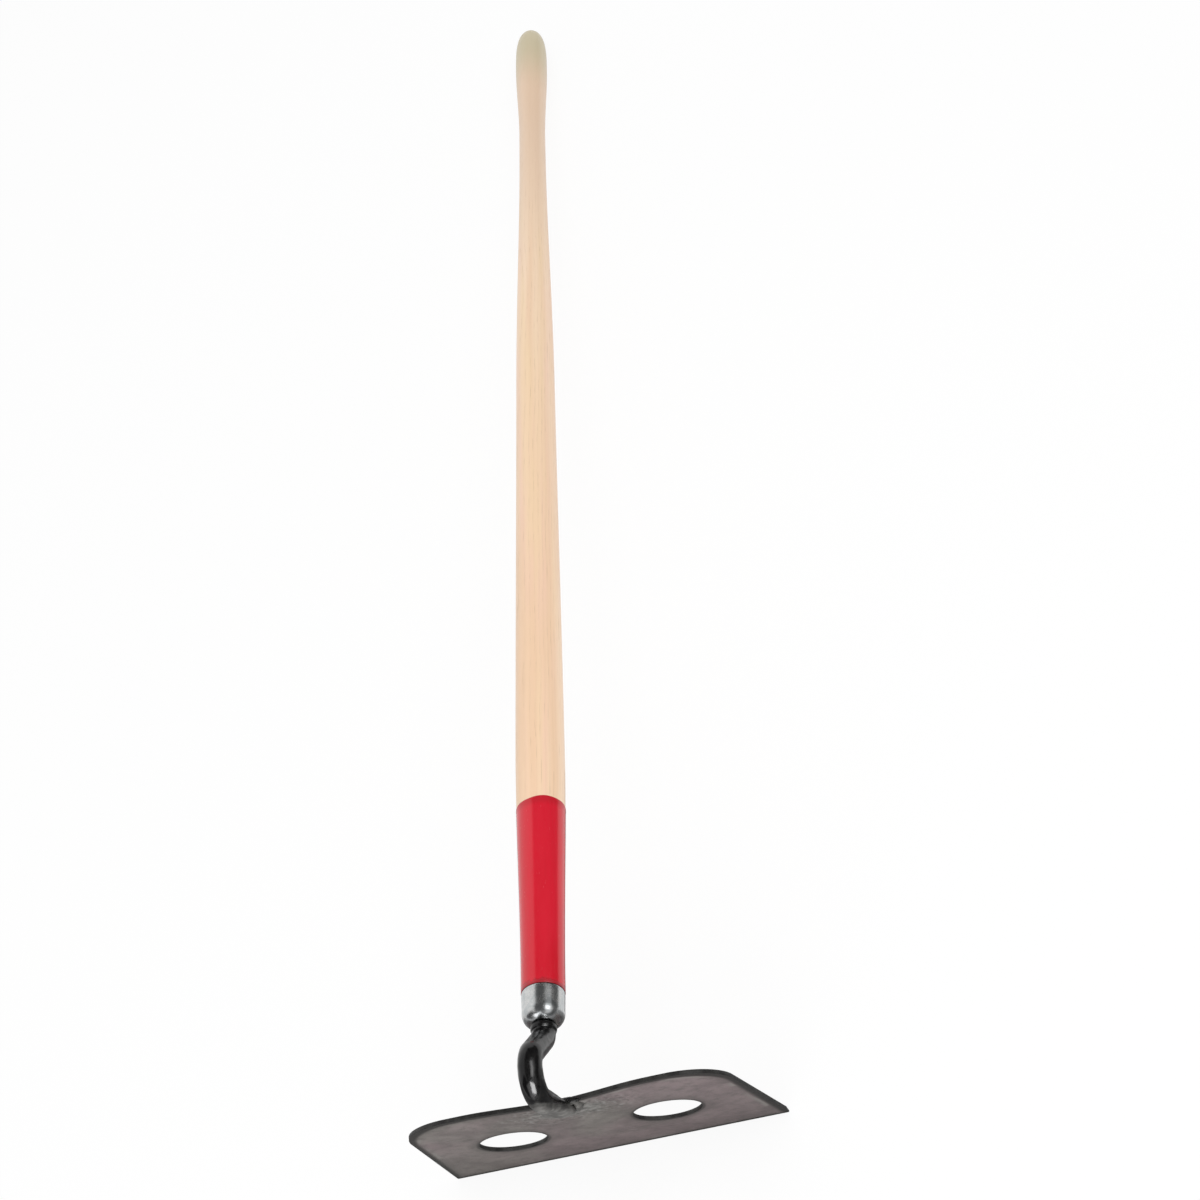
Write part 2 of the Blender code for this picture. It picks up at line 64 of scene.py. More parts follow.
BLADE_CORNER_RADIUS, CREST_FROM_CENTRE, TOP_DIP = 0.038, 0.066, 0.0095
HOLE_DIAMETER, HOLE_FROM_CENTRE, HOLE_FROM_CREST = 0.048, 0.0565, 0.0795
EDGE_BEVEL, EDGE_LAND = 0.006, 0.001
FACE_BEAD_RADIUS, TOP_BEAD_RADIUS, TOP_BEAD_OVERHANG = 0.0038, 0.0029, 0.007
GAP = 0.0003
LEAN = math.atan2((BLADE_WIDTH - BLADE_TOP_WIDTH) / 2, BLADE_DEPTH)

# The tenon inside the ferrule, from the ferrule's end: straight down to here, then narrowed by so much to its end
TENON_STRAIGHT_TO, TENON_END, TENON_NARROWING = 0.010, 0.005, 0.004

# Where the paint ends, from the ferrule's end, how thick its film is, and how deep its two edges sink into the wood
PAINT_END = 0.183
PAINT_FILM = 0.00025
PAINT_START_SUNK, PAINT_END_SUNK = 0.0004, 0.0012
# Its lip: how far each ring lies back from the end, and how many films it stands out
PAINT_LIP = ((0.0030, 1.1), (0.0022, 1.5), (0.0014, 1.6), (0.0008, 1.3), (0.0003, 0.6), (0, -0.4))
# Its uneven end: the length that is shifted, and the height, count and phase of each wave round the pole
PAINT_WAVE_LENGTH = 0.030
PAINT_WAVES = ((0.0005, 2, 0.7), (0.00025, 5, 2.1))

# The ferrule's broken rim: how far in and how far down each ring lies
FERRULE_RIM = ((0.0006, 0), (0.0001, 0.00015), (0, 0.0005))
FERRULE_WALL_START = 0.05

# The shank's first stations, from the collar's upper face, and the fillet from the collar to the rod
SHANK_START, COLLAR_FACE, COLLAR_FACE_INSET, COLLAR_ROUNDING_START = 0.00005, 0.0001, 0.0002, 0.0002
FILLET_BEFORE_END, FILLET_LENGTH, ROD_AFTER_END = 0.0014, 0.0030, 0.0020
# The foot reaches its thickness sooner than its width, and its toe doesn't close to a point
THICKNESS_LEAD, LEAST_TOE = 1.15, 0.02
# Hammer marks: how close together, and how deep in metres
HAMMER_MARKS = ((190, 0.00016), (520, 0.00005))
# The squareness of a round section
ROUND = 2

# The blade's clipped corners and broken arrises
CORNER_CLIP, CLIP_SHARE = 0.0012, 0.3
ARRIS_BREAK, ARRIS_ANGLE, LEVEL_NORMAL = 0.00035, math.radians(12), 0.9

# The welds: height of the face bead's middle line, and how a bead starts, wanders and ripples
FACE_BEAD_LIFT = 0.0002
BEAD_LOOK_AHEAD = 0.001
BEAD_START, BEAD_TAPER_LENGTH = 0.03, 0.008
BEAD_UNEVEN, BEAD_GRAIN, RIPPLE_DEPTH = 0.09, 0.03, 0.10
RIPPLE_CURVE, RIPPLE_WANDER, RIPPLE_CREST, RIPPLE_SHARPNESS = 0.9, 0.25, 0.35, 1.3

# How finely the shapes are cut
TURNED_SIDES, ROD_SIDES, BEAD_SIDES, HOLE_SIDES = 96, 72, 32, 96
GRIP_STEPS, GRIP_FIRST_STEP, POLE_STEPS, PAINT_STEPS = 28, 0.12, 150, 40
FERRULE_WALL_STEPS, FERRULE_DOME_STEPS = 8, 18
COLLAR_ROUNDING_STEPS, FILLET_STEPS, ROD_STEPS, TOE_STEPS = 6, 12, 150, 14
CREST_STEPS, CORNER_STEPS = 40, 32
BEAD_SPACING, BEAD_ARM_STEPS, BEAD_TOE_STEPS, BEAD_TOP_STEPS = 0.00022, 6, 48, 60
MERGE_DISTANCE, CUT_TOLERANCE, FLAT_ANGLE = 1e-6, 1e-7, math.radians(0.2)
SKIN_CREASE, BLADE_CREASE = 40, 30
QUARTER_TURN = math.radians(90)

# The patch that was brushed clean after welding: how it leans, falls to its sides and frays
CLEANED_LEAN, CLEANED_SIDES, CLEANED_FRAY = -0.173, -0.10, 0.0034

# The floor: half its width, its grey in the light, and its share of white, which grows to 1 over these distances
FLOOR_REACH, FLOOR_GREY = 30, 0.95
FLOOR_WHITE, FLOOR_FADE_START, FLOOR_FADE_END = 0.90, 1.5, 5
# The world's strength as a light, where the camera and gloss see 1
WORLD_LIGHT = 0.65
# The flags: arcs about the pole and about the head, how many parts an arc has, and the height of those that lie
POLE_FLAG_RADIUS, POLE_FLAG_HEIGHT = 1.6, 0.17
HEAD_FLAG_RADIUS, HEAD_FLAG_MIDDLE = 2.8, -0.65
FLAG_STEPS, FLOOR_FLAG_HEIGHT = 12, 0.0005
# The points that the lamps aim at
HEAD_AIM, FORGING_AIM = (0, -0.66, 0.17), (0, -0.69, 0.19)


# Shapes

def ease(start, end, share):
    return start + (end - start) * share * share * (3 - 2 * share)


def spread(start, end, steps):
    """Evenly spaced values from start up to, but not at, the end."""
    return [start + (end - start) * step / steps for step in range(steps)]


def add_piece(name, mesh, place, node=None):
    """A piece on the hoe's one body, with its place in its mesh. It stands for a node where one is named."""
    mesh.transform(place)
    piece = bpy.data.objects.new(name, mesh)
    bpy.context.scene.collection.objects.link(piece)
    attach(piece, "root")
    if node:
        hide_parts(node)
    return piece


def skin(name, rings):
    """A smooth closed skin over rings of points. The first and the last ring are capped."""
    rings = np.asarray(rings, float)
    count, around = rings.shape[:2]
    faces = [list(range(around))[::-1]]
    for row in range(count - 1):
        for step in range(around):
            after = (step + 1) % around
            low, high = row * around, (row + 1) * around
            faces.append((low + step, low + after, high + after, high + step))
    faces.append([(count - 1) * around + step for step in range(around)])
    mesh = bpy.data.meshes.new(name)
    mesh.from_pydata(rings.reshape(-1, 3).tolist(), [], faces)
    finish_mesh(mesh, SKIN_CREASE)
    return mesh


def finish_mesh(mesh, crease):
    """Faces point out, and are smooth but at edges sharper than the crease angle in degrees."""
    bm = bmesh.new()
    bm.from_mesh(mesh)
    bmesh.ops.remove_doubles(bm, verts=bm.verts, dist=MERGE_DISTANCE)
    bmesh.ops.recalc_face_normals(bm, faces=bm.faces)
    bm.to_mesh(mesh)
    bm.free()
    mesh.shade_smooth()
    mesh.set_sharp_from_angle(angle=math.radians(crease))


def turned(name, profile, shift=None):
    """Turns (radius, place) points round Y. shift moves a point along Y by its place and angle."""
    rings = []
    for radius, place in profile:
        ring = []
        for step in range(TURNED_SIDES):
            angle = 2 * math.pi * step / TURNED_SIDES
            along = place + (shift(place, angle) if shift else 0)
            ring.append((radius * math.cos(angle), along, radius * math.sin(angle)))
        rings.append(ring)
    return skin(name, rings)


def handle_radius(place):
    stations = (
        (FERRULE_LENGTH, FERRULE_DIAMETER),
        (SWELL_AT, SWELL_DIAMETER),
        (BODY_END, BODY_DIAMETER),
        (NECK_START, NECK_DIAMETER),
        (NECK_END, NECK_DIAMETER),
        (HANDLE_LENGTH - GRIP_LENGTH, GRIP_DIAMETER),
    )
    for (start, wide), (end, wide_after) in zip(stations, stations[1:]):
        if place <= end:
            return ease(wide, wide_after, (place - start) / (end - start)) / 2
    return GRIP_DIAMETER / 2


def handle_mesh():
    """The pole from its rounded grip end down to the tenon inside the ferrule."""
    profile = []
    for step in range(GRIP_STEPS):
        angle = QUARTER_TURN * (1 - (step + GRIP_FIRST_STEP) / GRIP_STEPS)
        out = math.cos(angle) ** (2 / GRIP_ROUNDNESS)
        along = math.sin(angle) ** (2 / GRIP_ROUNDNESS)
        profile.append((GRIP_DIAMETER / 2 * out, HANDLE_LENGTH - GRIP_LENGTH * (1 - along)))
    rim = FERRULE_LENGTH + GAP
    top = HANDLE_LENGTH - GRIP_LENGTH
    for place in spread(top, rim, POLE_STEPS) + [rim]:
        profile.append((handle_radius(place), place))
    tenon = FERRULE_DIAMETER / 2 - FERRULE_WALL - 2 * GAP
    profile += [(tenon, rim), (tenon, TENON_STRAIGHT_TO), (tenon - TENON_NARROWING, TENON_END)]
    return turned("handle_wood", profile)


def paint_mesh():
    """The paint film over the handle's lower end, with a thicker lip where it was dipped."""
    start = FERRULE_LENGTH + GAP
    profile = [(handle_radius(start) - PAINT_START_SUNK, start)]
    profile.append((handle_radius(start) + PAINT_FILM * 0.4, start + 0.0001))
    profile.append((handle_radius(start) + PAINT_FILM, start + 0.0006))
    for place in spread(start + 0.0015, PAINT_END - 0.0035, PAINT_STEPS):
        profile.append((handle_radius(place) + PAINT_FILM, place))
    for back, film in PAINT_LIP:
        place = PAINT_END - back
        profile.append((handle_radius(place) + PAINT_FILM * film, place))
    profile.append((handle_radius(PAINT_END) - PAINT_END_SUNK, PAINT_END - 0.0002))

    def dip(place, angle):
        share = max(0, (place - PAINT_END + PAINT_WAVE_LENGTH) / PAINT_WAVE_LENGTH)
        return share * share * sum(height * math.sin(count * angle + phase) for height, count, phase in PAINT_WAVES)

    return turned("paint_band", profile, dip)


def ferrule_mesh():
    """A drawn cup: a softly broken rim, a straight wall and a domed end round the tang's hole."""
    rim = FERRULE_DIAMETER / 2
    end = rim - FERRULE_TAPER
    hole = TANG_DIAMETER / 2 + GAP
    outer = [(rim - inset, FERRULE_LENGTH - down) for inset, down in FERRULE_RIM]
    for share in spread(FERRULE_WALL_START, 1, FERRULE_WALL_STEPS):
        outer.append((ease(rim, end, share), FERRULE_LENGTH + (GAP + FERRULE_DOME - FERRULE_LENGTH) * share))
    inner = []
    for step in range(FERRULE_DOME_STEPS + 1):
        angle = QUARTER_TURN * step / FERRULE_DOME_STEPS
        radius = end - FERRULE_DOME * (1 - math.cos(angle))
        height = GAP + FERRULE_DOME * (1 - math.sin(angle))
        outer.append((max(radius, hole), height))
        inner.append((max(radius - FERRULE_WALL * math.cos(angle), hole), height + FERRULE_WALL * math.sin(angle)))
    profile = outer + inner[::-1] + [(rim - FERRULE_WALL, FERRULE_LENGTH), outer[0]]
    return turned("ferrule_cup", profile)


# The shank's centre line

SECOND_BEND_ANGLE = FIRST_BEND_ANGLE + math.pi - BLADE_ANGLE
BENDS = (
    (COLLAR_LENGTH, 0),
    (FIRST_BEND_RADIUS * FIRST_BEND_ANGLE, -FIRST_BEND_ANGLE),
    (NECK_RUN, 0),
    (SECOND_BEND_RADIUS * SECOND_BEND_ANGLE, SECOND_BEND_ANGLE),
    (RETURN_RUN + FOOT_LAP, 0),
)
FOOT_START = sum(length for length, turn in BENDS[:4])


def centre_line(travel):
    """Place and heading at a distance along the rod from the collar's upper face."""
    place = Vector((0, 0, 0))
    heading = Vector((0, -1, 0))
    for length, turn in BENDS:
        done = min(travel, length)
        angle = turn * done / length
        if turn:
            radius = length / abs(turn)
            side = Vector((0, -heading.z, heading.y)) * math.copysign(1, turn)
            place = place + heading * radius * math.sin(abs(angle)) + side * radius * (1 - math.cos(angle))
        else:
            place = place + heading * done
        heading = Matrix.Rotation(angle, 3, "X") @ heading
        travel -= done
        if travel <= 0:
            break
    return place, heading


def rod_section(travel):
    """Half width, half thickness, squareness and drop towards the blade."""
    rod = ROD_DIAMETER / 2
    half_foot = FOOT_THICKNESS / 2
    lap = FOOT_START + RETURN_RUN
    if travel <= FOOT_START:
        return rod, rod, ROUND, 0
    flatten = min(1, (travel - FOOT_START) / RETURN_RUN)
    half_width = ease(rod, FOOT_WIDTH / 2, flatten)
    half_thick = ease(rod, half_foot, min(1, flatten * THICKNESS_LEAD))
    squareness = ease(ROUND, FOOT_SQUARENESS, flatten)
    if travel <= lap:
        return half_width, half_thick, squareness, 0
    half_thick = ease(half_foot, TOE_THICKNESS / 2, (travel - lap) / FOOT_LAP)
    toe = FOOT_WIDTH / 2
    into_toe = max(0, travel - (lap + FOOT_LAP - toe)) / toe
    half_width = toe * math.sqrt(max(LEAST_TOE, 1 - into_toe ** 2))
    return half_width, half_thick, squareness, half_foot - half_thick


def shank_mesh():
    """The forging from inside the ferrule to the toe, with the faint flats that hammering leaves."""
    root = TANG_DIAMETER / 2
    collar = COLLAR_DIAMETER / 2
    rod = ROD_DIAMETER / 2
    edge = collar - COLLAR_ROUNDING
    stations = []

    def add_round(travel, radius):
        stations.append((travel, (radius, radius, ROUND, 0)))

    add_round(SHANK_START, root)
    add_round(COLLAR_FACE, edge - COLLAR_FACE_INSET)
    for step in range(COLLAR_ROUNDING_STEPS + 1):
        angle = QUARTER_TURN * step / COLLAR_ROUNDING_STEPS
        travel = COLLAR_ROUNDING_START + COLLAR_ROUNDING * (1 - math.cos(angle))
        add_round(travel, edge + COLLAR_ROUNDING * math.sin(angle))
    for share in spread(0, 1, FILLET_STEPS) + [1]:
        add_round(COLLAR_LENGTH - FILLET_BEFORE_END + FILLET_LENGTH * share, ease(collar, rod, share))
    start = COLLAR_LENGTH + ROD_AFTER_END
    lap = FOOT_START + RETURN_RUN
    straight_end = lap + FOOT_LAP - FOOT_WIDTH / 2
    for travel in spread(start, straight_end, ROD_STEPS):
        stations.append((travel, rod_section(travel)))
    for step in range(TOE_STEPS + 1):
        travel = straight_end + FOOT_WIDTH / 2 * math.sin(QUARTER_TURN * step / TOE_STEPS)
        stations.append((travel, rod_section(travel)))
    rings = []
    for travel, (half_width, half_thick, squareness, drop) in stations:
        place, heading = centre_line(travel)
        inward = Vector((0, heading.z, -heading.y))
        place = place - inward * drop
        ring = []
        for step in range(ROD_SIDES):
            angle = 2 * math.pi * step / ROD_SIDES
            across = math.copysign(abs(math.cos(angle)) ** (2 / squareness), math.cos(angle))
            through = math.copysign(abs(math.sin(angle)) ** (2 / squareness), math.sin(angle))
            out = Vector((half_width * across, 0, 0)) + inward * half_thick * through
            point = place + out
            blow = sum(noise.noise(point * scale) * depth for scale, depth in HAMMER_MARKS)
            if travel > COLLAR_LENGTH:
                point = point + out.normalized() * blow
            ring.append(point)
        rings.append(ring)
    return skin("gooseneck", rings)


# The blade, in its own frame: X across, Y up from the crests, Z out of the outer face

def top_edge(across):
    if abs(across) >= CREST_FROM_CENTRE:
        return 0
    return -TOP_DIP * (1 + math.cos(math.pi * across / CREST_FROM_CENTRE)) / 2


def blade_place():
    start, heading = centre_line(FOOT_START)
    turned_by = Matrix.Rotation(math.pi - BLADE_ANGLE, 4, "X")
    outward = turned_by.to_3x3() @ Vector((0, 0, 1))
    origin = start + heading * (RETURN_RUN - TOP_DIP) - outward * (FOOT_THICKNESS / 2 + GAP)
    return HOE @ Matrix.Translation(origin) @ turned_by


def blade_outline():
    """From the middle of the top edge round to the cutting edge, and its mirror image."""
    radius = BLADE_CORNER_RADIUS
    top_half = BLADE_TOP_WIDTH / 2
    centre_x = top_half - radius / math.cos(LEAN) + radius * math.tan(LEAN)
    crest = spread(0, CREST_FROM_CENTRE, CREST_STEPS) + [CREST_FROM_CENTRE]
    half = [(across, top_edge(across)) for across in crest]
    for step in range(CORNER_STEPS + 1):
        angle = QUARTER_TURN - (QUARTER_TURN - LEAN) * step / CORNER_STEPS
        half.append((centre_x + radius * math.cos(angle), -radius + radius * math.sin(angle)))
    side = Vector((math.sin(LEAN), -math.cos(LEAN)))
    corner = Vector((top_half + BLADE_DEPTH * math.tan(LEAN), -BLADE_DEPTH))
    half.append(tuple(corner - side * CORNER_CLIP))
    half.append(tuple(corner - side * CORNER_CLIP * CLIP_SHARE - Vector((CORNER_CLIP * CLIP_SHARE, 0))))
    half.append(tuple(corner - Vector((CORNER_CLIP, 0))))
    return half + [(-across, up) for across, up in reversed(half[1:])]


def blade_mesh():
    """The plate with its two holes, the inner face ground away to the cutting edge, and all arrises broken."""
    curve = bpy.data.curves.new("plate_outline", "CURVE")
    curve.dimensions = "2D"
    curve.fill_mode = "BOTH"
    curve.extrude = BLADE_THICKNESS / 2
    loops = [blade_outline()]
    for side in (-1, 1):
        circle = []
        for step in range(HOLE_SIDES):
            angle = 2 * math.pi * step / HOLE_SIDES
            circle.append((side * HOLE_FROM_CENTRE + HOLE_DIAMETER / 2 * math.cos(angle),
                           -HOLE_FROM_CREST + HOLE_DIAMETER / 2 * math.sin(angle)))
        loops.append(circle)
    for loop in loops:
        spline = curve.splines.new("POLY")
        spline.points.add(len(loop) - 1)
        for point, (across, up) in zip(spline.points, loop):
            point.co = (across, up, 0, 1)
        spline.use_cyclic_u = True
    maker = bpy.data.objects.new("plate_outline", curve)
    bpy.context.scene.collection.objects.link(maker)
    bpy.context.view_layer.update()
    mesh = bpy.data.meshes.new_from_object(maker.evaluated_get(bpy.context.evaluated_depsgraph_get()))
    bpy.data.objects.remove(maker)
    mesh.transform(Matrix.Translation((0, 0, -BLADE_THICKNESS / 2)))
    bm = bmesh.new()
    bm.from_mesh(mesh)
    bmesh.ops.remove_doubles(bm, verts=bm.verts, dist=MERGE_DISTANCE)
    slope = math.atan2(BLADE_THICKNESS - EDGE_LAND, EDGE_BEVEL)
    cut = bmesh.ops.bisect_plane(
        bm, geom=bm.verts[:] + bm.edges[:] + bm.faces[:], dist=CUT_TOLERANCE,
        plane_co=(0, -BLADE_DEPTH, -EDGE_LAND), plane_no=(0, -math.sin(slope), -math.cos(slope)),
        clear_outer=True)
    rim = [item for item in cut["geom_cut"] if isinstance(item, bmesh.types.BMEdge)]
    bmesh.ops.holes_fill(bm, edges=[edge for edge in rim if edge.is_boundary])
    bmesh.ops.dissolve_limit(bm, angle_limit=FLAT_ANGLE, verts=bm.verts, edges=bm.edges)
    arrises = [edge for edge in bm.edges
               if len(edge.link_faces) == 2 and edge.calc_face_angle(0) > ARRIS_ANGLE
               and any(abs(face.normal.z) > LEVEL_NORMAL for face in edge.link_faces)]
    bmesh.ops.bevel(bm, geom=arrises, offset=ARRIS_BREAK, segments=2, affect="EDGES", profile=0.5)
    bmesh.ops.recalc_face_normals(bm, faces=bm.faces)
    bm.to_mesh(mesh)
    bm.free()
    finish_mesh(mesh, BLADE_CREASE)
    mesh.name = "blade_plate"
    return mesh


# Welds, in the blade's frame

def bead_mesh(name, route, radius, floor_z, pitch, seed):
    """A weld bead along a route: overlapping crescents, uneven in height and width, tapered at both ends."""
    route = [Vector(point) for point in route]
    lengths = np.cumsum([0] + [(after - here).length for here, after in zip(route, route[1:])])
    total = lengths[-1]

    def along(travel):
        return Vector([np.interp(travel, lengths, [point[axis] for point in route]) for axis in range(3)])

    rings = []
    count = int(total / BEAD_SPACING)
    for row in range(count + 1):
        travel = total * row / count
        place = along(travel)
        ahead = along(min(travel + BEAD_LOOK_AHEAD, total))
        behind = along(max(travel - BEAD_LOOK_AHEAD, 0))
        heading = (ahead - behind).normalized()
        side = Vector((0, 0, 1)).cross(heading).normalized()
        from_end = min(travel, total - travel)
        taper = math.sqrt(min(1, BEAD_START + from_end / BEAD_TAPER_LENGTH))
        uneven = 1 + BEAD_UNEVEN * noise.noise(Vector((travel * 160, seed, 0)))
        ring = []
        for step in range(BEAD_SIDES):
            angle = 2 * math.pi * step / BEAD_SIDES
            out, up = math.cos(angle), math.sin(angle)
            wander = RIPPLE_WANDER * noise.noise(Vector((travel * 220, seed, 5)))
            phase = (travel + RIPPLE_CURVE * radius * out * out) / pitch + wander
            ripple = RIPPLE_DEPTH * (abs((phase % 1) - RIPPLE_CREST) / (1 - RIPPLE_CREST)) ** RIPPLE_SHARPNESS
            size = radius * taper * uneven * (1 - ripple)
            grain = 1 + BEAD_GRAIN * noise.noise(Vector((travel * 900, angle * 2, seed)))
            point = place + side * out * size * grain
            point.z = max(place.z + up * size * grain, floor_z)
            ring.append(point)
        rings.append(ring)
    return skin(name, rings)


def face_bead_route():
    """Down one side of the foot, round its toe and up the other."""
    half = FOOT_WIDTH / 2 + FACE_BEAD_RADIUS * 0.5
    top = -TOP_DIP - TOP_BEAD_RADIUS * 0.5
    toe = -TOP_DIP - FOOT_LAP + FOOT_WIDTH / 2
    route = [(-half, up, FACE_BEAD_LIFT) for up in spread(top, toe, BEAD_ARM_STEPS)]
    for step in range(BEAD_TOE_STEPS + 1):
        angle = math.pi + math.pi * step / BEAD_TOE_STEPS
        route.append((half * math.cos(angle), toe + half * math.sin(angle), FACE_BEAD_LIFT))
    return route + [(half, up, FACE_BEAD_LIFT) for up in spread(toe, top, BEAD_ARM_STEPS)[1:] + [top]]


def top_bead_route():
    """Along the top edge, across the inner side of the shank and a little past it."""
    reach = FOOT_WIDTH / 2 + TOP_BEAD_OVERHANG
    height = TOP_BEAD_RADIUS - BLADE_THICKNESS
    places = spread(-reach, reach, BEAD_TOP_STEPS) + [reach]
    return [(across, top_edge(across) + TOP_BEAD_RADIUS * 0.2, height) for across in places]


# Materials

class Finish:
    """One material, with short calls for the nodes that make its pattern."""

    def __init__(self, name, frame_of_piece):
        self.material = bpy.data.materials.new(name)
        self.material.use_nodes = True
        self.tree = self.material.node_tree
        self.shader = self.tree.nodes["Principled BSDF"]
        where = self.tree.nodes.new("ShaderNodeTexCoord")
        back = frame_of_piece.inverted()
        self.place = self.turned_back(where.outputs["Object"], "POINT", back)
        self.normal = self.turned_back(where.outputs["Normal"], "VECTOR", back)
        self.x, self.y, self.z = self.parts(self.place)

    def turned_back(self, vector, kind, back):
        """Takes a place or a direction into the piece's own frame."""
        node = self.tree.nodes.new("ShaderNodeMapping")
        node.vector_type = kind
        self.fill(node.inputs["Vector"], vector)
        node.inputs["Rotation"].default_value = back.to_euler()
        if kind == "POINT":
            node.inputs["Location"].default_value = back.translation
        return node.outputs[0]

    def fill(self, socket, value):
        if isinstance(value, bpy.types.NodeSocket):
            self.tree.links.new(value, socket)
        else:
            socket.default_value = value

    def parts(self, vector):
        node = self.tree.nodes.new("ShaderNodeSeparateXYZ")
        self.fill(node.inputs[0], vector)
        return node.outputs[0], node.outputs[1], node.outputs[2]

    def join(self, x, y, z):
        node = self.tree.nodes.new("ShaderNodeCombineXYZ")
        for socket, value in zip(node.inputs, (x, y, z)):
            self.fill(socket, value)
        return node.outputs[0]

    def math(self, operation, *values):
        node = self.tree.nodes.new("ShaderNodeMath")
        node.operation = operation
        for socket, value in zip(node.inputs, values):
            self.fill(socket, value)
        return node.outputs[0]

    def length(self, first, second):
        """How far off a point lies, from how far off it is along two axes."""
        squares = self.math("ADD", self.math("POWER", first, 2), self.math("POWER", second, 2))
        return self.math("SQRT", squares)

    def fray(self, value, pattern, reach):
        """The value moved up and down by a pattern that runs from 0 to 1."""
        return self.math("MULTIPLY_ADD", self.math("SUBTRACT", pattern, 0.5), reach, value)

    def stretch(self, x, y, z, vector=None):
        """The place scaled by a factor for each axis, so that a pattern runs along one."""
        node = self.tree.nodes.new("ShaderNodeVectorMath")
        node.operation = "MULTIPLY"
        self.fill(node.inputs[0], vector or self.place)
        node.inputs[1].default_value = (x, y, z)
        return node.outputs[0]

    def noise(self, vector, scale=1, detail=3, roughness=0.5, distortion=0):
        node = self.tree.nodes.new("ShaderNodeTexNoise")
        self.fill(node.inputs["Vector"], vector)
        node.inputs["Scale"].default_value = scale
        node.inputs["Detail"].default_value = detail
        node.inputs["Roughness"].default_value = roughness
        node.inputs["Distortion"].default_value = distortion
        return node.outputs["Fac"]

    def step(self, value, start, end, low=0, high=1):
        """A smooth step from low to high as the value goes from start to end."""
        node = self.tree.nodes.new("ShaderNodeMapRange")
        node.interpolation_type = "SMOOTHSTEP"
        for socket, given in zip(node.inputs, (value, start, end, low, high)):
            self.fill(socket, given)
        return node.outputs[0]

    def mix(self, share, first, second, how="MIX"):
        node = self.tree.nodes.new("ShaderNodeMix")
        node.data_type = "RGBA"
        node.blend_type = how
        node.clamp_factor = True
        self.fill(node.inputs[0], share)
        for socket, colour in zip(node.inputs[6:8], (first, second)):
            self.fill(socket, (*colour, 1) if isinstance(colour, tuple) else colour)
        return node.outputs[2]

    def bump(self, height, strength, distance, normal=None):
        node = self.tree.nodes.new("ShaderNodeBump")
        node.inputs["Strength"].default_value = strength
        node.inputs["Distance"].default_value = distance
        self.fill(node.inputs["Height"], height)
        if normal:
            self.fill(node.inputs["Normal"], normal)
        return node.outputs[0]

    def shade(self, **values):
        for name, value in values.items():
            self.fill(self.shader.inputs[name.replace("_", " ")], value)
        return self.material


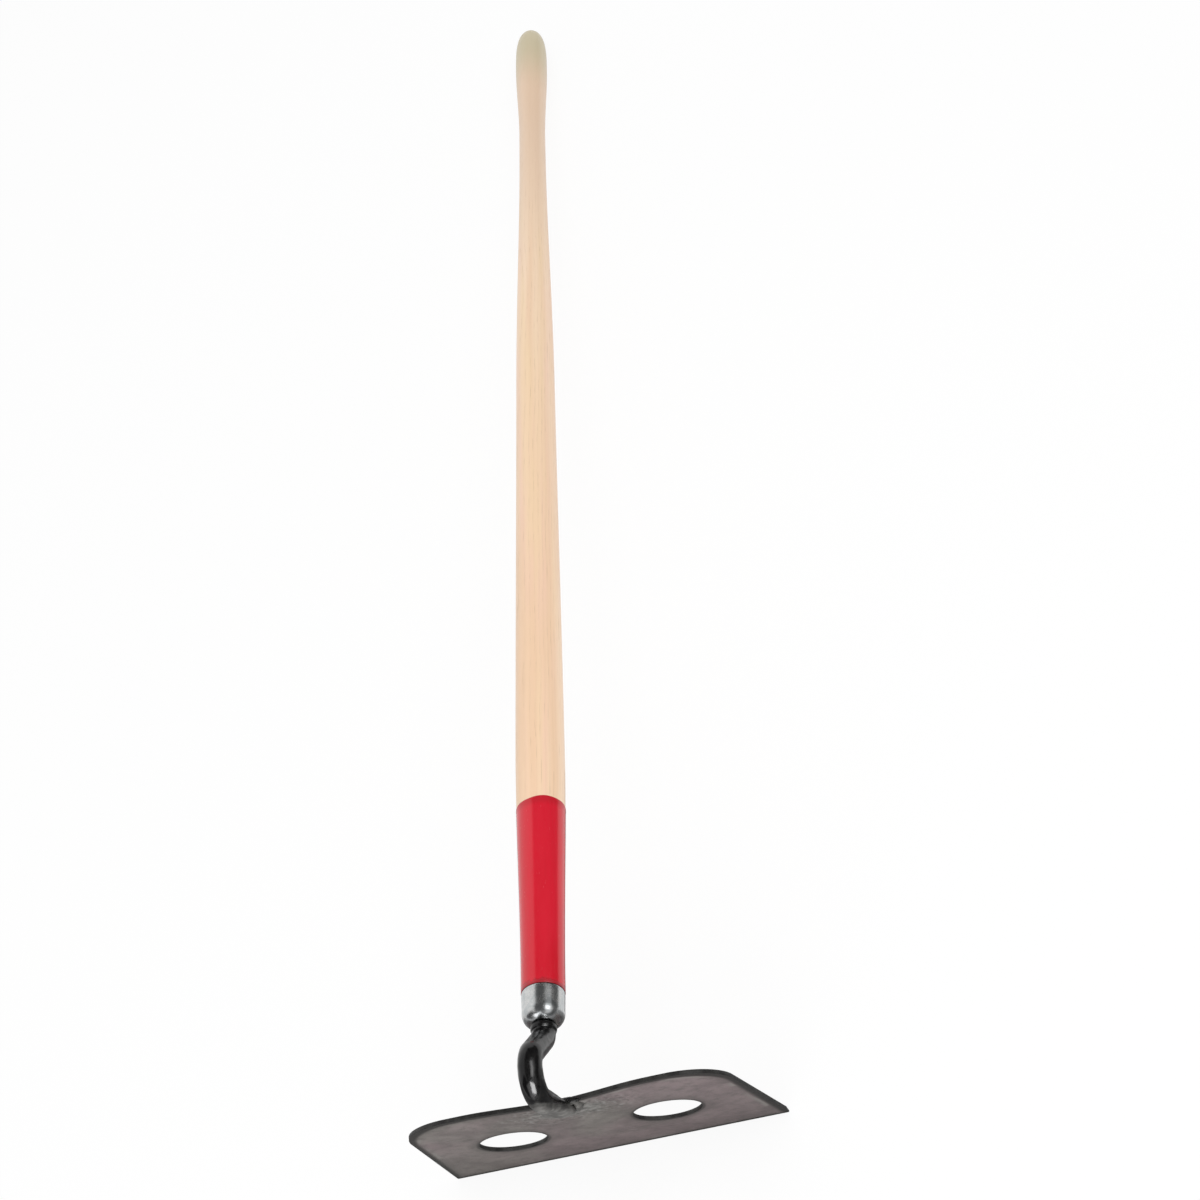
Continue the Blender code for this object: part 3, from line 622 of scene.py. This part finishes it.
def ash():
    """Lacquered ash: soft streaks, faint slanting rings, fine pores, a greyed grip, and a dark line at the ferrule
    that is painted shade in the seam with a stain from the red paint.
    """
    f = Finish("ash_wood", HOE)
    drift = f.noise(f.stretch(0, 2.6, 0), detail=2)
    sway = f.noise(f.stretch(0, 1.7, 0), scale=1.3, detail=2)
    across = f.math("ADD", f.x, f.math("MULTIPLY_ADD", drift, 0.016, -0.058))
    through = f.math("ADD", f.z, f.math("MULTIPLY_ADD", sway, 0.018, 0.024))
    radius = f.length(across, through)
    wander = f.noise(f.stretch(22, 5, 22), detail=2)
    ripple = f.noise(f.stretch(90, 14, 90), detail=2)
    radius = f.math("MULTIPLY_ADD", wander, 0.0060, radius)
    radius = f.math("MULTIPLY_ADD", ripple, 0.0016, radius)
    radius = f.math("MULTIPLY_ADD", f.y, 0.0055, radius)
    ring = f.math("FRACT", f.math("DIVIDE", radius, 0.0031))
    early = f.math("MULTIPLY", f.step(ring, 0, 0.08), f.step(ring, 0.46, 0.12))
    late = f.step(ring, 0.70, 0.97)
    pores = f.step(f.noise(f.stretch(1500, 42, 1500), detail=2, roughness=0.6), 0.53, 0.66)
    fibre = f.noise(f.stretch(620, 9, 620), detail=3, roughness=0.6)
    streak = f.noise(f.stretch(75, 1.6, 75), detail=2, roughness=0.5)
    blush = f.noise(f.stretch(46, 2.4, 46), scale=1.1, detail=2)
    honey = f.noise(f.stretch(52, 2.0, 40), scale=1.2, detail=2)

    colour = f.mix(f.step(streak, 0.34, 0.66), (0.905, 0.632, 0.422), (0.962, 0.728, 0.520))
    colour = f.mix(f.step(blush, 0.45, 0.66, 0, 0.60), colour, (0.950, 0.640, 0.490))
    colour = f.mix(f.step(honey, 0.48, 0.70, 0, 0.60), colour, (0.945, 0.715, 0.440))
    colour = f.mix(f.math("MULTIPLY", early, 0.10), colour, (0.74, 0.50, 0.30))
    colour = f.mix(f.math("MULTIPLY", late, 0.08), colour, (0.80, 0.55, 0.34))
    colour = f.mix(f.step(fibre, 0.42, 0.75, 0, 0.07), colour, (0.78, 0.54, 0.34))
    dark_pores = f.math("MULTIPLY", pores, f.math("MULTIPLY_ADD", early, 0.26, 0.04))
    colour = f.mix(dark_pores, colour, (0.50, 0.33, 0.19))
    handled = f.step(f.math("MULTIPLY_ADD", streak, 0.10, f.y), 0.86, 1.22, 0, 0.85)
    colour = f.mix(handled, colour, (0.800, 0.585, 0.420))
    greyed = f.step(f.math("MULTIPLY_ADD", blush, 0.08, f.y), 1.24, 1.36, 0, 0.95)
    colour = f.mix(greyed, colour, (0.600, 0.520, 0.335))
    end_grain = f.step(f.y, HANDLE_LENGTH - 0.008, HANDLE_LENGTH - 0.001, 0, 0.30)
    colour = f.mix(end_grain, colour, (0.46, 0.36, 0.23))
    # Painted shade: the wood in the seam between the paint and the ferrule is darkened, with a reddish stain from the
    # paint
    seam_shade_and_stain = f.step(f.y, FERRULE_LENGTH + 0.004, FERRULE_LENGTH + 0.002)
    colour = f.mix(seam_shade_and_stain, colour, (0.070, 0.020, 0.018))
    rough = f.math("MULTIPLY_ADD", fibre, 0.16, f.step(pores, 0, 1, 0.34, 0.46))
    relief = f.math("MULTIPLY_ADD", dark_pores, -1.3, f.math("MULTIPLY", fibre, 0.35))
    relief = f.math("MULTIPLY_ADD", early, -0.25, relief)
    f.shade(Coat_Weight=0.30, Coat_Roughness=0.22, Specular_IOR_Level=0.35)
    return f.shade(Base_Color=colour, Roughness=rough, Normal=f.bump(relief, 0.30, 0.0003))


def red_paint():
    """Gloss enamel over turned wood: it shows the grain a little, pools at its lip, has fine scuffs, and is darkened
    at the ferrule by painted shade and a smudge.
    """
    f = Finish("red_enamel", HOE)
    cloud = f.noise(f.stretch(45, 8, 45), detail=3)
    thin = f.noise(f.stretch(260, 6, 260), detail=2)
    scuff = f.step(f.noise(f.stretch(900, 120, 900), detail=2, distortion=1.2), 0.70, 0.78)
    chip_noise = f.noise(f.stretch(420, 300, 420), detail=3, roughness=0.6)
    colour = f.mix(f.step(cloud, 0.3, 0.7), (0.585, 0.0055, 0.0180), (0.670, 0.0080, 0.0265))
    colour = f.mix(f.step(thin, 0.48, 0.72, 0, 0.20), colour, (0.520, 0.0060, 0.0150))
    lip = f.step(f.math("MULTIPLY_ADD", cloud, 0.006, f.y), PAINT_END - 0.006, PAINT_END + 0.001, 0, 0.55)
    colour = f.mix(lip, colour, (0.43, 0.0070, 0.0160))
    near_rim = f.math("MULTIPLY_ADD", chip_noise, -0.008, f.y)
    # Painted shade along the seam with the ferrule, with a rougher smudge of grime there
    rim_shade_and_smudge = f.step(near_rim, FERRULE_LENGTH + 0.0010, FERRULE_LENGTH - 0.0025, 0, 0.7)
    colour = f.mix(rim_shade_and_smudge, colour, (0.27, 0.0180, 0.0240))
    colour = f.mix(f.math("MULTIPLY", scuff, 0.25), colour, (0.62, 0.060, 0.070))
    rough = f.math("MULTIPLY_ADD", cloud, 0.10, f.step(scuff, 0, 1, 0.15, 0.36))
    rough = f.math("MULTIPLY_ADD", rim_shade_and_smudge, 0.15, rough)
    peel = f.noise(f.stretch(300, 240, 300), detail=2)
    relief = f.math("ADD", f.math("MULTIPLY", peel, 0.5), f.math("MULTIPLY", thin, 0.9))
    f.shade(Specular_IOR_Level=0.5)
    return f.shade(Base_Color=colour, Roughness=rough, Normal=f.bump(relief, 0.10, 0.0004))


def zinc():
    """Bright zinc on drawn steel: fine lines along the draw, a faint bloom, pits, and painted shade that darkens the
    dome.
    """
    f = Finish("zinc_plate", HOE)
    drawn = f.noise(f.stretch(1500, 30, 1500), detail=3, roughness=0.65)
    bands = f.noise(f.stretch(210, 12, 210), detail=2)
    bloom = f.noise(f.place, scale=170, detail=4, roughness=0.6)
    pits = f.step(f.noise(f.place, scale=1300, detail=1), 0.72, 0.78)
    colour = f.mix(f.step(bloom, 0.35, 0.7), (0.50, 0.525, 0.53), (0.66, 0.66, 0.65))
    colour = f.mix(f.step(bands, 0.4, 0.62, 0, 0.30), colour, (0.43, 0.45, 0.46))
    colour = f.mix(f.math("MULTIPLY", pits, 0.5), colour, (0.24, 0.24, 0.24))
    # Painted reflection and shade: the dome end is darkened to stand for the dark neck that it mirrors
    dome_shade = f.step(f.math("MULTIPLY_ADD", bloom, 0.004, f.y), 0.0110, 0.0050, 0, 0.35)
    colour = f.mix(dome_shade, colour, (0.24, 0.235, 0.25))
    rough = f.math("MULTIPLY_ADD", drawn, 0.12, f.step(bloom, 0.3, 0.8, 0.16, 0.25))
    relief = f.math("MULTIPLY_ADD", pits, -0.7, drawn)
    f.shade(Metallic=1, Specular_IOR_Level=0.35)
    return f.shade(Base_Color=colour, Roughness=rough, Normal=f.bump(relief, 0.07, 0.0002))


def cleaned_height(f, cloud):
    """Grows towards the outward side of the foot and its bend, which was brushed clean after welding."""
    height = f.math("MULTIPLY_ADD", f.y, CLEANED_LEAN, f.z)
    height = f.math("MULTIPLY_ADD", f.math("ABSOLUTE", f.x), CLEANED_SIDES, height)
    return f.fray(height, cloud, CLEANED_FRAY)


def black_lacquer():
    """Gloss black over a forging: slight orange peel and specks, and brushed grey on the foot's outward side."""
    f = Finish("black_lacquer", BLADE)
    cloud = f.noise(f.place, scale=130, detail=4, roughness=0.6)
    fine = f.noise(f.place, scale=900, detail=3)
    speck = f.step(f.noise(f.place, scale=1500, detail=1), 0.70, 0.76)
    cleaned = cleaned_height(f, cloud)
    dulled = f.step(cleaned, 0.0018, 0.0042)
    rubbed = f.step(cleaned, 0.0044, 0.0078)
    colour = f.mix(f.step(cloud, 0.35, 0.75), (0.0035, 0.0035, 0.0038), (0.0095, 0.0090, 0.0088))
    colour = f.mix(f.math("MULTIPLY", speck, 0.25), colour, (0.08, 0.076, 0.072))
    dull = f.mix(f.step(cloud, 0.40, 0.66), (0.036, 0.035, 0.033), (0.075, 0.073, 0.068))
    colour = f.mix(dulled, colour, dull)
    worn = f.mix(f.step(cloud, 0.40, 0.66), (0.095, 0.092, 0.087), (0.185, 0.179, 0.170))
    colour = f.mix(rubbed, colour, worn)
    rough = f.math("MULTIPLY_ADD", cloud, 0.12, f.step(dulled, 0, 1, 0.12, 0.42))
    relief = f.math("MULTIPLY_ADD", fine, 0.25, cloud)
    f.shade(Specular_IOR_Level=0.28)
    return f.shade(Base_Color=colour, Roughness=rough, Normal=f.bump(relief, 0.14, 0.0005))


def rim_distance(f):
    """How far a point of the blade lies from its nearest outer edge, and from its nearest hole, in metres."""
    side = f.math("ABSOLUTE", f.x)
    from_side = f.math("SUBTRACT", BLADE_TOP_WIDTH / 2, side)
    from_side = f.math("MULTIPLY_ADD", f.y, -math.tan(LEAN), from_side)
    from_side = f.math("MULTIPLY", from_side, math.cos(LEAN))
    inside_crest = f.math("MINIMUM", side, CREST_FROM_CENTRE)
    wave = f.math("COSINE", f.math("MULTIPLY", inside_crest, math.pi / CREST_FROM_CENTRE))
    from_top = f.math("SUBTRACT", f.math("MULTIPLY_ADD", wave, -TOP_DIP / 2, -TOP_DIP / 2), f.y)
    round_off = BLADE_CORNER_RADIUS
    over_side = f.math("MAXIMUM", f.math("SUBTRACT", round_off, from_side), 0)
    over_top = f.math("MAXIMUM", f.math("SUBTRACT", round_off, from_top), 0)
    rim = f.math("SUBTRACT", round_off, f.length(over_side, over_top))
    rim = f.math("MINIMUM", rim, f.math("ADD", f.y, BLADE_DEPTH))
    across = f.math("SUBTRACT", side, HOLE_FROM_CENTRE)
    up = f.math("ADD", f.y, HOLE_FROM_CREST)
    return rim, f.math("SUBTRACT", f.length(across, up), HOLE_DIAMETER / 2)


def grey_plate():
    """Mill-finished plate: warm grey scale in soft blotches, scuffs about the weld, and painted light: shade along
    its edges, round its holes, on its cut walls and where the shank meets it, and a highlight just inside its rim.
    """
    f = Finish("grey_plate", BLADE)
    rim, hole = rim_distance(f)
    facing = f.math("ABSOLUTE", f.parts(f.normal)[2])
    hue = f.noise(f.place, scale=11, detail=2, distortion=0.4)
    blotch = f.noise(f.place, scale=34, detail=4, roughness=0.6, distortion=0.6)
    cloud = f.noise(f.place, scale=110, detail=5, roughness=0.65)
    grain = f.noise(f.place, scale=700, detail=3, roughness=0.6)
    rolled = f.noise(f.stretch(14, 380, 380), detail=3, roughness=0.6)
    scratch_a = f.step(f.noise(f.stretch(30, 1900, 30), detail=2, distortion=0.4), 0.66, 0.72)
    slanted = f.join(f.math("MULTIPLY_ADD", f.y, 0.6, f.x), f.math("MULTIPLY_ADD", f.x, -0.6, f.y), 0)
    scratch_b = f.step(f.noise(f.stretch(1700, 24, 0, slanted), detail=2, distortion=0.3), 0.68, 0.74)

    warm = f.mix(f.step(blotch, 0.36, 0.62), (0.158, 0.126, 0.128), (0.206, 0.164, 0.166))
    neutral = f.mix(f.step(blotch, 0.36, 0.62), (0.142, 0.130, 0.119), (0.190, 0.175, 0.161))
    leftward = f.math("MULTIPLY_ADD", f.x, -1.4, hue)
    colour = f.mix(f.step(leftward, 0.42, 0.66), warm, neutral)
    colour = f.mix(f.step(cloud, 0.46, 0.68, 0, 0.60), colour, (0.112, 0.099, 0.095))
    colour = f.mix(f.step(grain, 0.45, 0.75, 0, 0.35), colour, (0.215, 0.192, 0.186))
    colour = f.mix(f.step(rolled, 0.54, 0.80, 0, 0.20), colour, (0.092, 0.084, 0.080))
    colour = f.mix(f.step(f.y, -0.060, -0.135, 0, 0.30), colour, (0.110, 0.090, 0.090))
    scratches = f.math("MAXIMUM", scratch_a, scratch_b)
    colour = f.mix(f.math("MULTIPLY", scratches, 0.20), colour, (0.27, 0.26, 0.25))

    weld_x = f.math("DIVIDE", f.x, 0.027)
    weld_y = f.math("DIVIDE", f.math("ADD", f.y, TOP_DIP + FOOT_LAP * 1.2), 0.015)
    from_weld = f.fray(f.length(weld_x, weld_y), cloud, 1.9)
    colour = f.mix(f.step(from_weld, 1.30, 0.60, 0, 0.75), colour, (0.168, 0.166, 0.158))
    near_weld = f.step(from_weld, 2.3, 1.0)
    speckle = f.noise(f.place, scale=230, detail=2, roughness=0.6, distortion=0.4)
    bright_speckle = f.math("MULTIPLY", near_weld, f.step(speckle, 0.53, 0.63, 0, 0.6))
    colour = f.mix(bright_speckle, colour, (0.255, 0.250, 0.238))
    dark_speckle = f.math("MULTIPLY", near_weld, f.step(speckle, 0.47, 0.37, 0, 0.6))
    colour = f.mix(dark_speckle, colour, (0.075, 0.072, 0.068))
    # Near black where the shank meets the top edge: lacquer overspray, and painted shade in the crevice between the
    # foot and the top edge
    overspray_shade_x = f.math("DIVIDE", f.x, 0.018)
    overspray_shade_y = f.math("DIVIDE", f.math("ADD", f.y, TOP_DIP), 0.006)
    from_arms = f.fray(f.length(overspray_shade_x, overspray_shade_y), cloud, 0.3)
    colour = f.mix(f.step(from_arms, 1.10, 0.70, 0, 0.9), colour, (0.016, 0.016, 0.016))

    uneven = f.fray(rim, cloud, 0.0024)
    uneven_hole = f.fray(hole, cloud, 0.0024)
    # Painted shade: the plate darkens towards its outer edges and round its holes, darkest in a band at each rim
    edge_shade = f.step(f.math("MINIMUM", uneven, uneven_hole), 0.0110, 0.0030, 0, 0.36)
    colour = f.mix(edge_shade, colour, (0.075, 0.072, 0.066))
    colour = f.mix(f.step(uneven_hole, 0.0034, 0.0008, 0, 0.70), colour, (0.030, 0.029, 0.027))
    colour = f.mix(f.step(uneven, 0.0060, 0.0020, 0, 0.90), colour, (0.026, 0.025, 0.023))
    # Painted highlight: a lighter band a few millimetres inside the rim, broken up by the blotches
    painted_rim_highlight = f.math("MULTIPLY", f.step(uneven, 0.0095, 0.0060), f.step(uneven, 0.0040, 0.0055))
    painted_rim_highlight = f.math("MULTIPLY", painted_rim_highlight, f.step(blotch, 0.50, 0.64, 0, 0.45))
    colour = f.mix(painted_rim_highlight, colour, (0.250, 0.246, 0.226))
    # Painted shade: the plate's cut walls and the walls of its holes are painted near black
    shaded_wall = f.step(facing, 0.80, 0.45)
    wall_shade_colour = f.mix(f.step(cloud, 0.35, 0.7), (0.014, 0.0135, 0.013), (0.036, 0.035, 0.033))
    colour = f.mix(shaded_wall, colour, wall_shade_colour)
    below_bevel = f.step(f.y, -BLADE_DEPTH + EDGE_BEVEL * 1.02, -BLADE_DEPTH + EDGE_BEVEL * 0.96)
    ground = f.math("MULTIPLY", below_bevel, f.step(f.z, -0.0008, -0.0011))
    grinding = f.step(f.noise(f.stretch(24, 2600, 2600), detail=3), 0.35, 0.7)
    steel = f.mix(grinding, (0.26, 0.255, 0.25), (0.42, 0.41, 0.40))
    colour = f.mix(f.math("MULTIPLY", ground, 0.85), colour, steel)

    rough = f.math("MULTIPLY_ADD", cloud, 0.20, f.step(blotch, 0.3, 0.7, 0.36, 0.46))
    rough = f.math("MULTIPLY_ADD", shaded_wall, -0.06, rough)
    relief = f.math("MULTIPLY_ADD", grain, 0.35, cloud)
    relief = f.math("MULTIPLY_ADD", scratches, -0.45, relief)
    relief = f.math("MULTIPLY_ADD", rolled, 0.20, relief)
    f.shade(Specular_IOR_Level=0.3)
    return f.shade(Base_Color=colour, Roughness=rough, Metallic=f.math("MULTIPLY", ground, 0.8),
                   Normal=f.bump(relief, 0.22, 0.0004))


def weld_metal(name, bare_from):
    """A bead under black lacquer, brushed bare above a height that is measured as on the shank."""
    f = Finish(name, BLADE)
    cloud = f.noise(f.place, scale=210, detail=4, roughness=0.6)
    fine = f.noise(f.place, scale=1400, detail=3)
    pits = f.step(f.noise(f.place, scale=1000, detail=1), 0.68, 0.76)
    black = f.mix(f.step(cloud, 0.38, 0.66), (0.005, 0.005, 0.005), (0.014, 0.0135, 0.013))
    scuffed = f.mix(f.step(cloud, 0.38, 0.66), (0.085, 0.083, 0.078), (0.175, 0.170, 0.160))
    scuffed = f.mix(f.step(fine, 0.50, 0.75, 0, 0.4), scuffed, (0.24, 0.235, 0.225))
    share = f.step(cleaned_height(f, cloud), bare_from, bare_from + 0.0026)
    colour = f.mix(share, black, scuffed)
    colour = f.mix(f.math("MULTIPLY", pits, 0.6), colour, (0.008, 0.008, 0.008))
    rough = f.math("MULTIPLY_ADD", fine, 0.20, f.step(share, 0, 1, 0.16, 0.32))
    relief = f.math("MULTIPLY_ADD", pits, -0.8, f.math("MULTIPLY_ADD", fine, 0.5, cloud))
    f.shade(Specular_IOR_Level=0.35)
    return f.shade(Base_Color=colour, Roughness=rough, Normal=f.bump(relief, 0.30, 0.0004))


# The object

BLADE = blade_place()
wood = add_piece("handle_wood", handle_mesh(), HOE, "handle")
paint = add_piece("paint_band", paint_mesh(), HOE)
cup = add_piece("ferrule_cup", ferrule_mesh(), HOE, "ferrule")
neck = add_piece("gooseneck", shank_mesh(), HOE, "shank")
plate = add_piece("blade_plate", blade_mesh(), BLADE, "blade")
face_bead = add_piece(
    "face_bead", bead_mesh("face_bead", face_bead_route(), FACE_BEAD_RADIUS, -0.0004, 0.0021, 3),
    BLADE, "weld_face_bead")
top_bead = add_piece(
    "top_bead", bead_mesh("top_bead", top_bead_route(), TOP_BEAD_RADIUS, -BLADE_THICKNESS, 0.0019, 11),
    BLADE, "weld_top_bead")
for piece, material in (
    (wood, ash()),
    (paint, red_paint()),
    (cup, zinc()),
    (neck, black_lacquer()),
    (plate, grey_plate()),
    (face_bead, weld_metal("weld_scuffed", -0.0014)),
    # The top bead is left nearly all black: lacquer over it, and painted shade in the crevice by the shank
    (top_bead, weld_metal("weld_dark", 0.0008)),
):
    piece.data.materials.clear()
    piece.data.materials.append(material)


# Floor, world and lamps

def seen_share(tree):
    """1 for rays from the camera, mirror rays and rays through glass, and 0 for the rays that light things."""
    path = tree.nodes.new("ShaderNodeLightPath")
    total = path.outputs["Is Camera Ray"]
    for name in ("Is Glossy Ray", "Is Transmission Ray"):
        node = tree.nodes.new("ShaderNodeMath")
        node.operation = "MAXIMUM"
        tree.links.new(total, node.inputs[0])
        tree.links.new(path.outputs[name], node.inputs[1])
        total = node.outputs[0]
    return total


def scaled(tree, value, low, high, start=0, end=1):
    node = tree.nodes.new("ShaderNodeMapRange")
    node.inputs["From Min"].default_value = start
    node.inputs["From Max"].default_value = end
    node.inputs["To Min"].default_value = low
    node.inputs["To Max"].default_value = high
    tree.links.new(value, node.inputs["Value"])
    return node.outputs[0]


def make_floor():
    mesh = bpy.data.meshes.new("floor")
    corners = [(x * FLOOR_REACH, y * FLOOR_REACH, 0) for x, y in ((-1, -1), (1, -1), (1, 1), (-1, 1))]
    mesh.from_pydata(corners, [], [(0, 1, 2, 3)])
    floor = bpy.data.objects.new("floor", mesh)
    bpy.context.scene.collection.objects.link(floor)
    material = bpy.data.materials.new("floor_white")
    material.use_nodes = True
    tree = material.node_tree
    tree.nodes.clear()
    matte = tree.nodes.new("ShaderNodeBsdfDiffuse")
    matte.inputs["Color"].default_value = (FLOOR_GREY, FLOOR_GREY, FLOOR_GREY, 1)
    white = tree.nodes.new("ShaderNodeEmission")
    white.inputs["Color"].default_value = (1, 1, 1, 1)
    white.inputs["Strength"].default_value = 1
    distance = tree.nodes.new("ShaderNodeVectorMath")
    distance.operation = "LENGTH"
    tree.links.new(tree.nodes.new("ShaderNodeTexCoord").outputs["Object"], distance.inputs[0])
    share = tree.nodes.new("ShaderNodeMath")
    share.operation = "MULTIPLY"
    tree.links.new(seen_share(tree), share.inputs[0])
    white_share = scaled(tree, distance.outputs["Value"], FLOOR_WHITE, 1, FLOOR_FADE_START, FLOOR_FADE_END)
    tree.links.new(white_share, share.inputs[1])
    both = tree.nodes.new("ShaderNodeMixShader")
    tree.links.new(share.outputs[0], both.inputs["Fac"])
    tree.links.new(matte.outputs[0], both.inputs[1])
    tree.links.new(white.outputs[0], both.inputs[2])
    out = tree.nodes.new("ShaderNodeOutputMaterial")
    tree.links.new(both.outputs[0], out.inputs["Surface"])
    mesh.materials.append(material)


def make_world():
    world = bpy.data.worlds.new("studio")
    bpy.context.scene.world = world
    world.use_nodes = True
    tree = world.node_tree
    light = tree.nodes["Background"]
    light.inputs["Color"].default_value = (1, 1, 1, 1)
    tree.links.new(scaled(tree, seen_share(tree), WORLD_LIGHT, 1), light.inputs["Strength"])


def add_softbox(name, place, aim, width, length, power):
    data = bpy.data.lights.new(name, "AREA")
    data.shape = "RECTANGLE"
    data.size = width
    data.size_y = length
    data.energy = power
    lamp = bpy.data.objects.new(name, data)
    bpy.context.scene.collection.objects.link(lamp)
    back = (Vector(place) - Vector(aim)).normalized()
    along = Vector((0, 1, 0))
    right = along.cross(back).normalized()
    up = back.cross(right)
    turn = Matrix((right, up, back)).transposed().to_4x4()
    lamp.matrix_world = Matrix.Translation(place) @ turn
    lamp.visible_camera = False
    return lamp


def add_flag(name, near, far, cloth):
    """A strip of dark cloth between two rows of points. It shows in gloss alone, and throws no shadow."""
    count = len(near)
    faces = [(step, step + 1, count + step + 1, count + step) for step in range(count - 1)]
    mesh = bpy.data.meshes.new(name)
    mesh.from_pydata(near + far, [], faces)
    mesh.materials.append(cloth)
    flag = bpy.data.objects.new(name, mesh)
    bpy.context.scene.collection.objects.link(flag)
    flag.visible_camera = False
    flag.visible_diffuse = False
    flag.visible_transmission = False
    flag.visible_shadow = False


def matte_cloth(name, grey):
    cloth = bpy.data.materials.new(name)
    cloth.use_nodes = True
    shader = cloth.node_tree.nodes["Principled BSDF"]
    shader.inputs["Base Color"].default_value = (grey, grey, grey, 1)
    shader.inputs["Roughness"].default_value = 1
    shader.inputs["Specular IOR Level"].default_value = 0
    return cloth


def arc(start, end):
    """Angles from start to end, both given in degrees."""
    return [math.radians(start + (end - start) * step / FLAG_STEPS) for step in range(FLAG_STEPS + 1)]


def make_flags():
    """Over and beside the pole, behind the camera, and on the floor by the head and pole, so that gloss has depth."""
    cloth = matte_cloth("flag_cloth", 0.12)
    grey_cloth = matte_cloth("flag_cloth_grey", 0.30)
    for name, start, end, near_y, far_y in (
        ("overhead_flag", -28, 30, -1.9, 0.42),
        ("right_flag", 64, 97, -1.9, 0.42),
        ("long_flag", -23, 97, 0.42, 4.0),
    ):
        rows = [[(POLE_FLAG_RADIUS * math.sin(angle), y, POLE_FLAG_HEIGHT + POLE_FLAG_RADIUS * math.cos(angle))
                 for angle in arc(start, end)] for y in (near_y, far_y)]
        add_flag(name, rows[0], rows[1], cloth)
    for name, start, end, height in (("front_flag", -78, 20, 3.2), ("front_right_flag", 20, 110, 1.3)):
        rows = [[(HEAD_FLAG_RADIUS * math.sin(angle), HEAD_FLAG_MIDDLE - HEAD_FLAG_RADIUS * math.cos(angle), z)
                 for angle in arc(start, end)] for z in (0, height)]
        add_flag(name, rows[0], rows[1], cloth)
    for name, left, right, near_y, far_y, weave in (
        ("floor_flag", -0.60, 1.0, -1.9, -0.60, grey_cloth),
        ("neck_flag", -0.12, 0.05, -0.60, -0.34, grey_cloth),
        ("side_floor_flag", 0.45, 3.5, -0.40, 4.0, cloth),
    ):
        rows = [[(x, y, FLOOR_FLAG_HEIGHT) for x in (left, right)] for y in (near_y, far_y)]
        add_flag(name, rows[0], rows[1], weave)


def make_camera():
    """Stands where the photograph was taken from, as measured in the hoe's own frame."""
    data = bpy.data.cameras.new("camera")
    data.sensor_width = 36
    data.lens = 54.426
    data.clip_start, data.clip_end = 0.05, 100
    camera = bpy.data.objects.new("camera", data)
    bpy.context.scene.collection.objects.link(camera)
    right = (0.943733, -0.033117, -0.329046)
    up = (0.255092, 0.706107, 0.660560)
    back = (0.210467, -0.707330, 0.674825)
    turn = Matrix((right, up, back)).transposed().to_4x4()
    camera.matrix_world = HOE @ Matrix.Translation((0.36344, -0.657715, 0.994170)) @ turn
    bpy.context.scene.camera = camera


make_floor()
make_world()
make_camera()
make_flags()
add_softbox("overhead_softbox", (0.3, 0.4, 2.3), (0.05, 0.2, 0), 2.2, 3.0, 15.5).visible_glossy = False
add_softbox("front_softbox", (-0.36, -2.31, 0.80), HEAD_AIM, 1.25, 1.55, 15.5)
add_softbox("side_softbox", (0.98, -0.74, 1.30), HEAD_AIM, 0.55, 0.80, 3.3)
forging = bpy.data.collections.new("forging")
forging.objects.link(neck)
for name, place, width, length, power in (
    ("forging_light", (0.13, -1.20, 0.47), 0.34, 0.42, 10.5),
    ("forging_top_light", (0.27, -0.69, 0.66), 0.22, 0.51, 1.7),
):
    lamp = add_softbox(name, place, FORGING_AIM, width, length, power)
    lamp.visible_diffuse = False
    lamp.light_linking.receiver_collection = forging
bpy.context.scene.view_settings.view_transform = "Standard"
